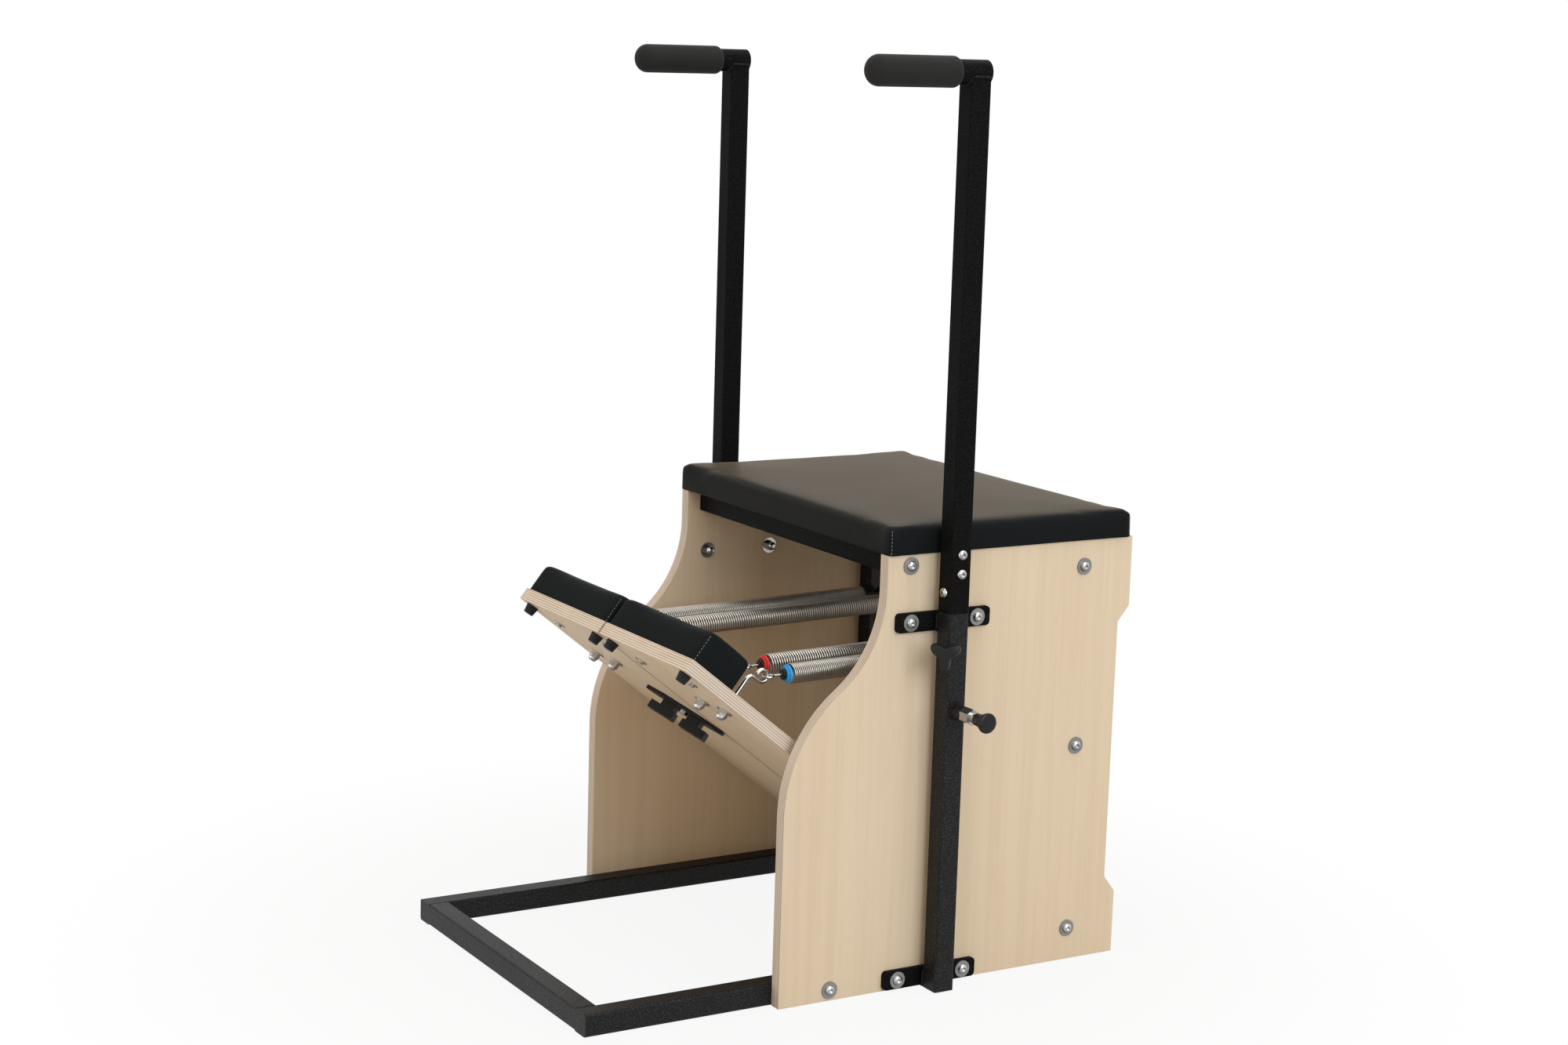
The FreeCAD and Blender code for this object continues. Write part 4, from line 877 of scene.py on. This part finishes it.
# The grip's round nose and heel in radii, their angles, and the rings along it
GRIP_NOSE = 0.86
GRIP_HEEL = 0.36
GRIP_TIP_ANGLE = 0.05
GRIP_HEEL_ANGLE = 1.25
GRIP_NOSE_STEPS = 16
GRIP_BARREL_STEPS = 12
GRIP_HEEL_STEPS = 10
GRIP_COLUMNS = 64

# The clamp knob's arms, the round of its rim and how much thinner its tips are
STAR_ARMS = 3
STAR_POWER = 1.55
STAR_RIM = 0.14
STAR_THINNING = 0.42
STAR_INSETS = (0.15, 0.5)
STAR_STEPS = 13
STAR_COLUMNS = 96
STUD_COLUMNS = 24


def scaled(rows, low, high, radius):
    """Rows of (share of the length, share of the radius) as rows of (along, radius)."""
    return (low, 0) + np.array(rows) * (high - low, radius)


def coil_axis(node):
    """The point of a coil's axis at its anchor, and the coil's outer radius."""
    across = node_points(node)[:, 0]
    middle = (across.min() + across.max()) / 2
    return SPRING_ROOT * (0, 1, 1) + ACROSS * middle, (across.max() - across.min()) / 2


def wound(root, low, high, radius, wire, pitch):
    """A wire along a close helix: place = root + along s + radius (side cos + lift sin)."""
    turns = round((high - low - wire) / pitch)
    shares = np.linspace(0, 1, turns * COIL_STEPS + 1)
    turn = 2 * np.pi * turns * shares
    lift = np.cross(SPRING_ALONG, ACROSS)
    out = np.cos(turn)[:, None] * ACROSS + np.sin(turn)[:, None] * lift
    along = low + wire / 2 + shares * (high - low - wire)
    path = root + along[:, None] * SPRING_ALONG + radius * out
    return tube(path, np.full(len(path), wire / 2), out, np.broadcast_to(SPRING_ALONG, path.shape))


def grip_rows(reach, radius):
    """A round nose, a straight barrel and a heel that curves in to the bar, as (along, radius) rows."""
    nose = GRIP_NOSE * radius
    heel = GRIP_HEEL * radius
    turn = np.linspace(GRIP_TIP_ANGLE, np.pi / 2, GRIP_NOSE_STEPS)
    front = np.stack([nose - nose * np.cos(turn), radius - nose * (1 - np.sin(turn))], axis=-1)
    along = np.linspace(nose, reach - heel, GRIP_BARREL_STEPS + 2)[1:-1]
    barrel = np.stack([along, np.full(GRIP_BARREL_STEPS, radius)], axis=-1)
    fall = np.linspace(0, GRIP_HEEL_ANGLE, GRIP_HEEL_STEPS)
    rear = reach - heel + heel * np.sin(fall) / np.sin(GRIP_HEEL_ANGLE)
    back = np.stack([rear, radius - heel * (1 - np.cos(fall))], axis=-1)
    return np.concatenate([front, barrel, back])


def clamp_star(place, axis, sizes):
    """A three-armed knob, thinner at the tips.

    radius = hub + (reach - hub) ((1 + cos 3 turn) / 2) ** power
    """
    turn = np.linspace(0, 2 * np.pi, STAR_COLUMNS, endpoint=False)
    arm = ((1 + np.cos(STAR_ARMS * turn)) / 2) ** STAR_POWER
    outline = sizes.hub + (sizes.reach - sizes.hub) * arm
    side = np.cross(axis, UP)
    ring = -np.cos(turn)[:, None] * UP + np.sin(turn)[:, None] * side
    bend = np.linspace(-np.pi / 2, np.pi / 2, STAR_STEPS)
    rim = 1 - STAR_RIM + STAR_RIM * np.cos(bend)
    spans = np.concatenate([STAR_INSETS, rim, STAR_INSETS[::-1]])
    heights = np.concatenate([[-1, -1], np.sin(bend), [1, 1]])
    reach = spans[:, None] * outline
    thin = 1 - STAR_THINNING * (reach / sizes.reach) ** 2
    along = sizes.start + sizes.depth / 2 + heights[:, None] * thin * sizes.depth / 2
    return shell(place + reach[..., None] * ring + along[..., None] * axis)


# Welds


# Rings along a bead and round the boss, the ripples and their height, and the taper of a bead's ends
BEAD_STEPS = 72
RING_STEPS = 144
RING_RIPPLES = 30
RIPPLE_SHARE = 0.16
RIPPLE_RADII = 1.3
TAPER_RATE = 6
TAPER_LEAST = 0.15
ASLANT = UP + 0.3 * DEPTH + 0.2 * ACROSS
BOSS_RADIUS = 0.010

# How far below its middle the bar lies on the post's top, in the bar's radii
BAR_SADDLE = 0.344


def bead(path, radius):
    """A weld bead along a path: a round section whose radius ripples, and whose ends taper away."""
    steps = unit(np.gradient(path, axis=0))
    first = unit(np.cross(steps, ASLANT))
    run = np.linalg.norm(np.diff(path, axis=0), axis=1).sum()
    shares = np.linspace(0, 1, len(path))
    ripple = 1 + RIPPLE_SHARE * np.sin(2 * np.pi * shares * run / (RIPPLE_RADII * radius))
    taper = np.sqrt(np.clip(TAPER_RATE * np.minimum(shares, 1 - shares), TAPER_LEAST, 1))
    return tube(path, radius * ripple * taper, first, np.cross(steps, first))


def line(start, end):
    """Even steps from one point to another."""
    return np.linspace(start, end, BEAD_STEPS)


def sleeve_span(name):
    """The front and the rear of a sleeve."""
    middle = node_middle(f"handle_insert_{name}")[1]
    half = abs(JOINTS[f"clamp_{name}_turn"]["pos_m"][1] - middle)
    return middle - half, middle + half


def handle_welds(name, radius):
    """Beads where the bar lies in the post's top: one along each side and one round it in front."""
    middle = node_middle(f"handle_grip_{name}")
    bar_radius = node_box(f"handle_post_{name}")[1][2] - middle[2]
    saddle = middle[2] - BAR_SADDLE * bar_radius
    front, rear = sleeve_span(name)
    offset = bar_radius * math.sqrt(1 - BAR_SADDLE**2) + radius / 2
    made = []
    for across in (middle[0] - offset, middle[0] + offset):
        made.append(bead(line((across, front, saddle), (across, rear, saddle)), radius))
    dip = math.asin(BAR_SADDLE)
    angles = np.linspace(np.pi + dip, 2 * np.pi - dip, BEAD_STEPS)
    arc = np.stack([np.cos(angles), np.zeros(BEAD_STEPS), np.sin(angles)], axis=-1) * bar_radius
    made.append(bead(arc + (middle[0], front, middle[2]), radius))
    return made


def sleeve_welds(name, side, radius):
    """Beads round the plunger's boss and up the joints of the sleeve with its brackets."""
    outer = JOINTS[f"clamp_{name}_turn"]["pos_m"][0]
    front, rear = sleeve_span(name)
    height = node_middle(f"plunger_knob_{name}")[2]
    angles = np.linspace(0, 2 * np.pi, RING_STEPS, endpoint=False)
    out = np.stack([np.zeros(RING_STEPS), np.cos(angles), np.sin(angles)], axis=-1)
    path = BOSS_RADIUS * out + (outer, (front + rear) / 2, height)
    ripple = radius * (1 + RIPPLE_SHARE * np.sin(RING_RIPPLES * angles))
    made = [tube(path, ripple, out, np.broadcast_to(ACROSS, out.shape), looped=True)]
    brackets = node_points("sleeve_brackets")
    brackets = brackets[brackets[:, 0] * side > 0]
    inner = outer - side * (rear - front)
    for group in (brackets[brackets[:, 2] < height], brackets[brackets[:, 2] > height]):
        bottom, top = group[:, 2].min() + radius, group[:, 2].max() - radius
        for end in (front, rear):
            made.append(bead(line((inner, end, bottom), (inner, end, top)), radius))
    return made


# Stage


# The floor's half width, its depth below the feet, its tone, and how its shadow fades with distance
FLOOR_HALF = 9.0
FLOOR_DROP = 0.0006
FLOOR_TONE = (0.55, 0.55, 0.55)
SHADOW_SHARE = 0.90
SHADOW_START = 0.45
SHADOW_END = 1.1

# Each lamp's place, the point that it looks at, and its width
LAMPS = {
    "key_lamp": ((3.8, 0.1, 1.9), (0, 0, 0.5), 2.4),
    "top_lamp": ((0.1, 0.4, 3.3), (0, 0, 0.6), 2.6),
    "fill_lamp": ((-0.5, -3.6, 0.7), (0, 0, 0.4), 2.4),
}
SENSOR_WIDTH = 36.0


def make_floor():
    """A pale floor that looks white to the camera and keeps part of the chair's shadow."""
    mesh = bpy.data.meshes.new("floor")
    points = [(x * FLOOR_HALF, y * FLOOR_HALF, -FLOOR_DROP) for x, y in CORNERS]
    mesh.from_pydata(points, [], [(0, 1, 2, 3)])
    finish = Finish("floor_white", roughness=0.9, specular_ior_level=0.0, base_color=FLOOR_TONE)
    glow = finish.node("ShaderNodeEmission", {}, {"Color": rgba(WHITE), "Strength": 1.0})
    away = finish.node("ShaderNodeVectorMath", {"operation": "LENGTH"}, {0: finish.place()}, "Value")
    fade = SHADOW_SHARE + (1 - SHADOW_SHARE) * finish.step(away, SHADOW_START, SHADOW_END)
    surface = Wire(finish.tree, finish.shader.outputs[0])
    mixed = finish.node("ShaderNodeMixShader", {}, {0: finish.sight() * fade, 1: surface, 2: glow})
    plug_in(finish.tree, finish.tree.nodes["Material Output"].inputs["Surface"], mixed)
    mesh.materials.append(finish.material)
    floor = bpy.data.objects.new("floor", mesh)
    bpy.context.scene.collection.objects.link(floor)


def make_sky(strength, tint):
    """An even world: white to the camera and in reflections, and a plain, slightly warm light."""
    world = bpy.data.worlds.new("white_studio")
    world.use_nodes = True
    bpy.context.scene.world = world
    sky = Tree(world.node_tree)
    seen = sky.sight()
    background = sky.tree.nodes["Background"]
    plug_in(sky.tree, background.inputs["Color"], sky.mix(seen, tint, WHITE))
    plug_in(sky.tree, background.inputs["Strength"], strength + (1 - strength) * seen)


def make_lamp(name, watts, tint):
    """A large square lamp that looks at a point."""
    place, target, width = LAMPS[name]
    lamp = bpy.data.lights.new(name, "AREA")
    lamp.color = tint
    lamp.size = width
    lamp.energy = watts
    item = bpy.data.objects.new(name, lamp)
    back = unit(np.array(place) - np.array(target))
    right = unit(np.cross(UP, back))
    item.matrix_world = turned_frame(right, np.cross(back, right), back, place)
    bpy.context.scene.collection.objects.link(item)


def turned_frame(right, up, back, place):
    """A matrix from three axes and a place."""
    axes = np.stack([right, up, back, np.asarray(place)], axis=1)
    return Matrix([*axes.tolist(), [0, 0, 0, 1]])


def make_camera(sizes):
    """A camera at the viewing angle, from its yaw, pitch and roll."""
    yaw, pitch, roll = sizes.yaw, sizes.pitch, sizes.roll
    level = math.cos(pitch)
    back = np.array((math.sin(yaw) * level, -math.cos(yaw) * level, math.sin(pitch)))
    right = unit(np.cross(-back, UP))
    up = np.cross(right, -back)
    leaned = right * math.cos(roll) + up * math.sin(roll)
    upright = up * math.cos(roll) - right * math.sin(roll)
    lens = bpy.data.cameras.new("camera")
    lens.sensor_fit = "HORIZONTAL"
    lens.sensor_width = SENSOR_WIDTH
    lens.lens = sizes.lens
    camera = bpy.data.objects.new("camera", lens)
    camera.matrix_world = turned_frame(leaned, upright, back, sizes.camera_place)
    bpy.context.scene.collection.objects.link(camera)
    bpy.context.scene.camera = camera


# Operators


class CHAIR_OT_stage(bpy.types.Operator):
    """Set the floor, the white surroundings, the lamps and the camera"""

    bl_idname = "chair.stage"
    bl_label = "Stage"

    def execute(self, context):
        sizes = context.scene.chair_stage
        context.scene.view_settings.view_transform = "Standard"
        make_floor()
        make_sky(sizes.sky, sizes.sky_tint)
        make_lamp("key_lamp", sizes.key_power, sizes.key_tint)
        make_lamp("top_lamp", sizes.top_power, WHITE)
        make_lamp("fill_lamp", sizes.fill_power, WHITE)
        make_camera(sizes)
        return {"FINISHED"}


class CHAIR_OT_plywood(bpy.types.Operator):
    """Finish the side panels and the pedal boards as plywood"""

    bl_idname = "chair.plywood"
    bl_label = "Plywood"

    def execute(self, context):
        for name in SIDES:
            panel = f"side_panel_{name}"
            low, high = node_box(panel)
            shift = (0.0, 0.0, -low[0])
            dress([panel], plywood(f"panel_ply_{name}", PANEL_TURN, shift, high[0] - low[0]))
            board = f"pedal_board_{name}"
            under, over = spread(node_points(board), AXLE, PEDAL_UP)
            shift = -(np.array(PEDAL_TURN) @ AXLE) - under * UP
            dress([board], plywood(f"pedal_ply_{name}", PEDAL_TURN, tuple(shift), over - under))
        return {"FINISHED"}


class CHAIR_OT_steel(bpy.types.Operator):
    """Finish the coated steel of the frame, the sleeves and the posts"""

    bl_idname = "chair.steel"
    bl_label = "Coated steel"

    def execute(self, context):
        wrinkled = coated_steel("wrinkle_coat", wrinkle_and_glint=0.55, roughness=0.44, shine=0.16)
        smoother = coated_steel("post_coat", wrinkle_and_glint=0.15, roughness=0.42, shine=0.02)
        dress(["base_front_tube", "rear_uprights", "rear_rails", "axle_blocks"], wrinkled)
        dress(both("base_side_tube", "sleeve", "spring_rack"), wrinkled)
        dress(["seat_rail", "sleeve_brackets"], smoother)
        dress(both("handle_post", "pedal_hinges", "handle_insert"), smoother)
        return {"FINISHED"}


class CHAIR_OT_fixings(bpy.types.Operator):
    """Finish the bolts, washers, nuts, hooks and eyes"""

    bl_idname = "chair.fixings"
    bl_label = "Fixings"

    def execute(self, context):
        colours = context.scene.chair_colours
        bright = bright_steel("bright_fixings", colours.bright, roughness=0.17, shade=0.22)
        dull = bright_steel("dull_fixings", colours.dull, roughness=0.38, shade=0.5)
        dress(["frame_bolts", "cap_nuts", "plunger_collars"], bright)
        dress(both("handle_screws", "eye_bolts", "pedal_fasteners", "spring_hooks"), bright)
        dress(["frame_washers", "pedal_axle"], dull)
        return {"FINISHED"}


class CHAIR_OT_mouldings(bpy.types.Operator):
    """Finish the moulded plugs, spring ends, bumpers, latch and the seat's board"""

    bl_idname = "chair.mouldings"
    bl_label = "Mouldings"

    def execute(self, context):
        colours = context.scene.chair_colours
        plastic = moulded("black_plastic", colours.plastic, roughness=0.38)
        rubber = moulded("black_rubber", colours.plastic, roughness=0.62)
        dress(["tube_plugs", "pedal_latch", *both("spring_ends")], plastic)
        dress(["seat_board", *both("pedal_bumpers")], rubber)
        return {"FINISHED"}


class CHAIR_OT_seat(bpy.types.Operator):
    """Make the stuffed seat with its sewn corners"""

    bl_idname = "chair.seat"
    bl_label = "Seat"

    def execute(self, context):
        cover = vinyl("seat_vinyl", sheen=0.27, shine=0.03, tone=1.0)
        low, high = node_box("seat_cushion")
        low[2] = node_box("seat_board")[0][2] + SKIRT_GAP
        piece, sewn = upholster("seat_cover", low, high, context.scene.chair_seat, cover)
        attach(piece, "frame")
        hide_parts("seat_cushion")
        make_piece("seat_stitches", sewn, sewing_thread("seat_thread"), "frame")
        return {"FINISHED"}


class CHAIR_OT_pads(bpy.types.Operator):
    """Make the stuffed pads of the pedals with their sewn corners"""

    bl_idname = "chair.pads"
    bl_label = "Pads"

    def execute(self, context):
        cover = vinyl("pad_vinyl", sheen=0.02, shine=0.008, tone=1.3)
        thread = sewing_thread("pad_thread")
        for name in SIDES:
            points = node_points(f"pedal_pad_{name}")
            spans = [spread(points, AXLE, axis) for axis in (ACROSS, PEDAL_ALONG, PEDAL_UP)]
            low, high = np.array(spans).T
            high[2] += PAD_RISE
            piece, sewn = upholster(f"pad_cover_{name}", low, high, context.scene.chair_pads, cover)
            set_points(piece, to_pedal(mesh_points(piece.data)))
            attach(piece, f"pedal_{name}")
            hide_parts(f"pedal_pad_{name}")
            turned = [(to_pedal(part), faces) for part, faces in sewn]
            make_piece(f"pad_stitches_{name}", turned, thread, f"pedal_{name}")
        return {"FINISHED"}


class CHAIR_OT_springs(bpy.types.Operator):
    """Wind the springs from their rear plugs to their front ones"""

    bl_idname = "chair.springs"
    bl_label = "Springs"

    def execute(self, context):
        sizes = context.scene.chair_springs
        # The wire's colour carries a painted reflection of the wood as a warm tint.
        wire_and_reflection_tint = context.scene.chair_colours.wire
        finish = bright_steel("spring_wire", wire_and_reflection_tint, roughness=0.34, shade=0.38)
        windings = {
            "inner": (sizes.inner_wire, sizes.inner_pitch),
            "outer": (sizes.outer_wire, sizes.outer_pitch),
        }
        for name in SIDES:
            for spot, (wire, pitch) in windings.items():
                node = f"coil_{name}_{spot}"
                root, outer = coil_axis(node)
                low, high = spread(node_points(node), root, SPRING_ALONG)
                high += COIL_OVERLAP
                skin = wound(root, low, high, outer - wire / 2, wire, pitch)
                piece = make_piece(f"spring_{name}_{spot}", [skin], finish, None, [node])
                start, end = root + SPRING_ALONG * low, root + SPRING_ALONG * high
                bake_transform(piece)
        return {"FINISHED"}


class CHAIR_OT_plugs(bpy.types.Operator):
    """Make the coloured collars and black cores at the springs' front ends"""

    bl_idname = "chair.plugs"
    bl_label = "Spring plugs"

    def execute(self, context):
        colours = context.scene.chair_colours
        sizes = context.scene.chair_springs
        black = moulded("plug_core", colours.plastic, roughness=0.40)
        tints = {"inner": colours.inner_plug, "outer": colours.outer_plug}
        finishes = {spot: moulded(f"collar_{spot}", tints[spot], roughness=0.34) for spot in tints}
        for name in SIDES:
            node = f"spring_plugs_{name}"
            body = f"spring_front_{name}"
            low, high = spread(node_points(node), SPRING_ROOT, SPRING_ALONG)
            cores = []
            for spot, finish in finishes.items():
                root = coil_axis(f"coil_{name}_{spot}")[0]
                collar = lathe(scaled(COLLAR_ROWS, low, high, sizes.collar), root, SPRING_ALONG)
                make_piece(f"plug_collar_{name}_{spot}", [collar], finish, body, [node])
                cores.append(lathe(scaled(CORE_ROWS, low, high, sizes.core), root, SPRING_ALONG))
            make_piece(f"plug_cores_{name}", cores, black, body, [node])
        return {"FINISHED"}


class CHAIR_OT_grips(bpy.types.Operator):
    """Make the foam grips of the push handles"""

    bl_idname = "chair.grips"
    bl_label = "Grips"

    def execute(self, context):
        finish = foam("grip_foam")
        for name in SIDES:
            node = f"handle_grip_{name}"
            low, high = node_box(node)
            middle = node_middle(node)
            rows = grip_rows(high[1] - low[1], (high[0] - low[0]) / 2)
            skin = lathe(rows, (middle[0], low[1], middle[2]), DEPTH, GRIP_COLUMNS)
            piece = make_piece(f"foam_grip_{name}", [skin], finish, f"handle_{name}", [node])
        return {"FINISHED"}


class CHAIR_OT_plungers(bpy.types.Operator):
    """Make the plungers' plated necks and flared knobs"""

    bl_idname = "chair.plungers"
    bl_label = "Plungers"

    def execute(self, context):
        colours = context.scene.chair_colours
        plated = bright_steel("plunger_plate", colours.bright, roughness=0.20, shade=0.25)
        black = moulded("plunger_plastic", colours.plastic, roughness=0.34)
        collar = np.abs(node_box("plunger_collars"))[:, 0].max()
        for name, side in SIDES.items():
            node = f"plunger_knob_{name}"
            body = f"plunger_{name}"
            low, high = node_box(node)
            inner, tip = sorted((abs(low[0]), abs(high[0])))
            radius = (high[2] - low[2]) / 2
            origin = node_middle(node) * (0, 1, 1)
            neck = collar + NECK_END * (tip - collar)
            rows = [(inner, NECK_INNER), (collar, NECK_INNER), (collar, NECK_OUTER), (neck, NECK_OUTER)]
            skin = lathe(np.array(rows) * (1, radius), origin, ACROSS * side)
            make_piece(f"plunger_neck_{name}", [skin], plated, body, [node])
            skin = lathe(scaled(KNOB_ROWS, collar, tip, radius), origin, ACROSS * side)
            make_piece(f"plunger_cap_{name}", [skin], black, body, [node])
        return {"FINISHED"}


class CHAIR_OT_clamps(bpy.types.Operator):
    """Make the three-armed clamp knobs"""

    bl_idname = "chair.clamps"
    bl_label = "Clamp knobs"

    def execute(self, context):
        finish = moulded("clamp_plastic", context.scene.chair_colours.plastic, roughness=0.42)
        sizes = context.scene.chair_knobs
        for name in SIDES:
            joint = JOINTS[f"clamp_{name}_turn"]
            place, axis = np.array(joint["pos_m"]), np.array(joint["axis"])
            node = f"clamp_knob_{name}"
            low = spread(node_points(node), place, axis)[0]
            stud = [(low, sizes.stud), (sizes.start + sizes.depth / 2, sizes.stud)]
            skins = [lathe(stud, place, axis, STUD_COLUMNS), clamp_star(place, axis, sizes)]
            make_piece(f"clamp_star_{name}", skins, finish, f"clamp_{name}", [node])
        return {"FINISHED"}


class CHAIR_OT_welds(bpy.types.Operator):
    """Lay the weld beads at the handles, the plungers and the brackets"""

    bl_idname = "chair.welds"
    bl_label = "Welds"

    def execute(self, context):
        finish = coated_steel("weld_coat", wrinkle_and_glint=0.30, roughness=0.36, shine=0.10)
        radius = context.scene.chair_knobs.weld
        for name, side in SIDES.items():
            upper = handle_welds(name, radius)
            make_piece(f"handle_welds_{name}", upper, finish, f"handle_{name}")
            lower = sleeve_welds(name, side, radius)
            make_piece(f"sleeve_welds_{name}", lower, finish, "frame")
        return {"FINISHED"}


OPERATORS = (
    CHAIR_OT_stage,
    CHAIR_OT_plywood,
    CHAIR_OT_steel,
    CHAIR_OT_fixings,
    CHAIR_OT_mouldings,
    CHAIR_OT_seat,
    CHAIR_OT_pads,
    CHAIR_OT_springs,
    CHAIR_OT_plugs,
    CHAIR_OT_grips,
    CHAIR_OT_plungers,
    CHAIR_OT_clamps,
    CHAIR_OT_welds,
)


class CHAIR_PT_sidebar(bpy.types.Panel):
    """The chair's sizes, colours and building steps"""

    bl_idname = "CHAIR_PT_sidebar"
    bl_label = "Pilates chair"
    bl_space_type = "VIEW_3D"
    bl_region_type = "UI"
    bl_category = "Chair"

    def draw(self, context):
        for operator in OPERATORS:
            self.layout.operator(operator.bl_idname)
        for key, group in GROUPS.items():
            part = self.layout.box()
            for prop in group.__annotations__:
                part.prop(getattr(context.scene, key), prop)


CLASSES = (*GROUPS.values(), *OPERATORS, CHAIR_PT_sidebar)


def register():
    """Registers the classes and hangs the property groups on the scene."""
    for item in CLASSES:
        bpy.utils.register_class(item)
    for key, group in GROUPS.items():
        setattr(bpy.types.Scene, key, bpy.props.PointerProperty(type=group))


def unregister():
    """Takes the property groups and the classes away again."""
    for key in GROUPS:
        delattr(bpy.types.Scene, key)
    for item in reversed(CLASSES):
        bpy.utils.unregister_class(item)


def main():
    """Builds the whole chair."""
    register()
    for operator in OPERATORS:
        group, action = operator.bl_idname.split(".")
        getattr(getattr(bpy.ops, group), action)()


if __name__ == "__main__":
    main()
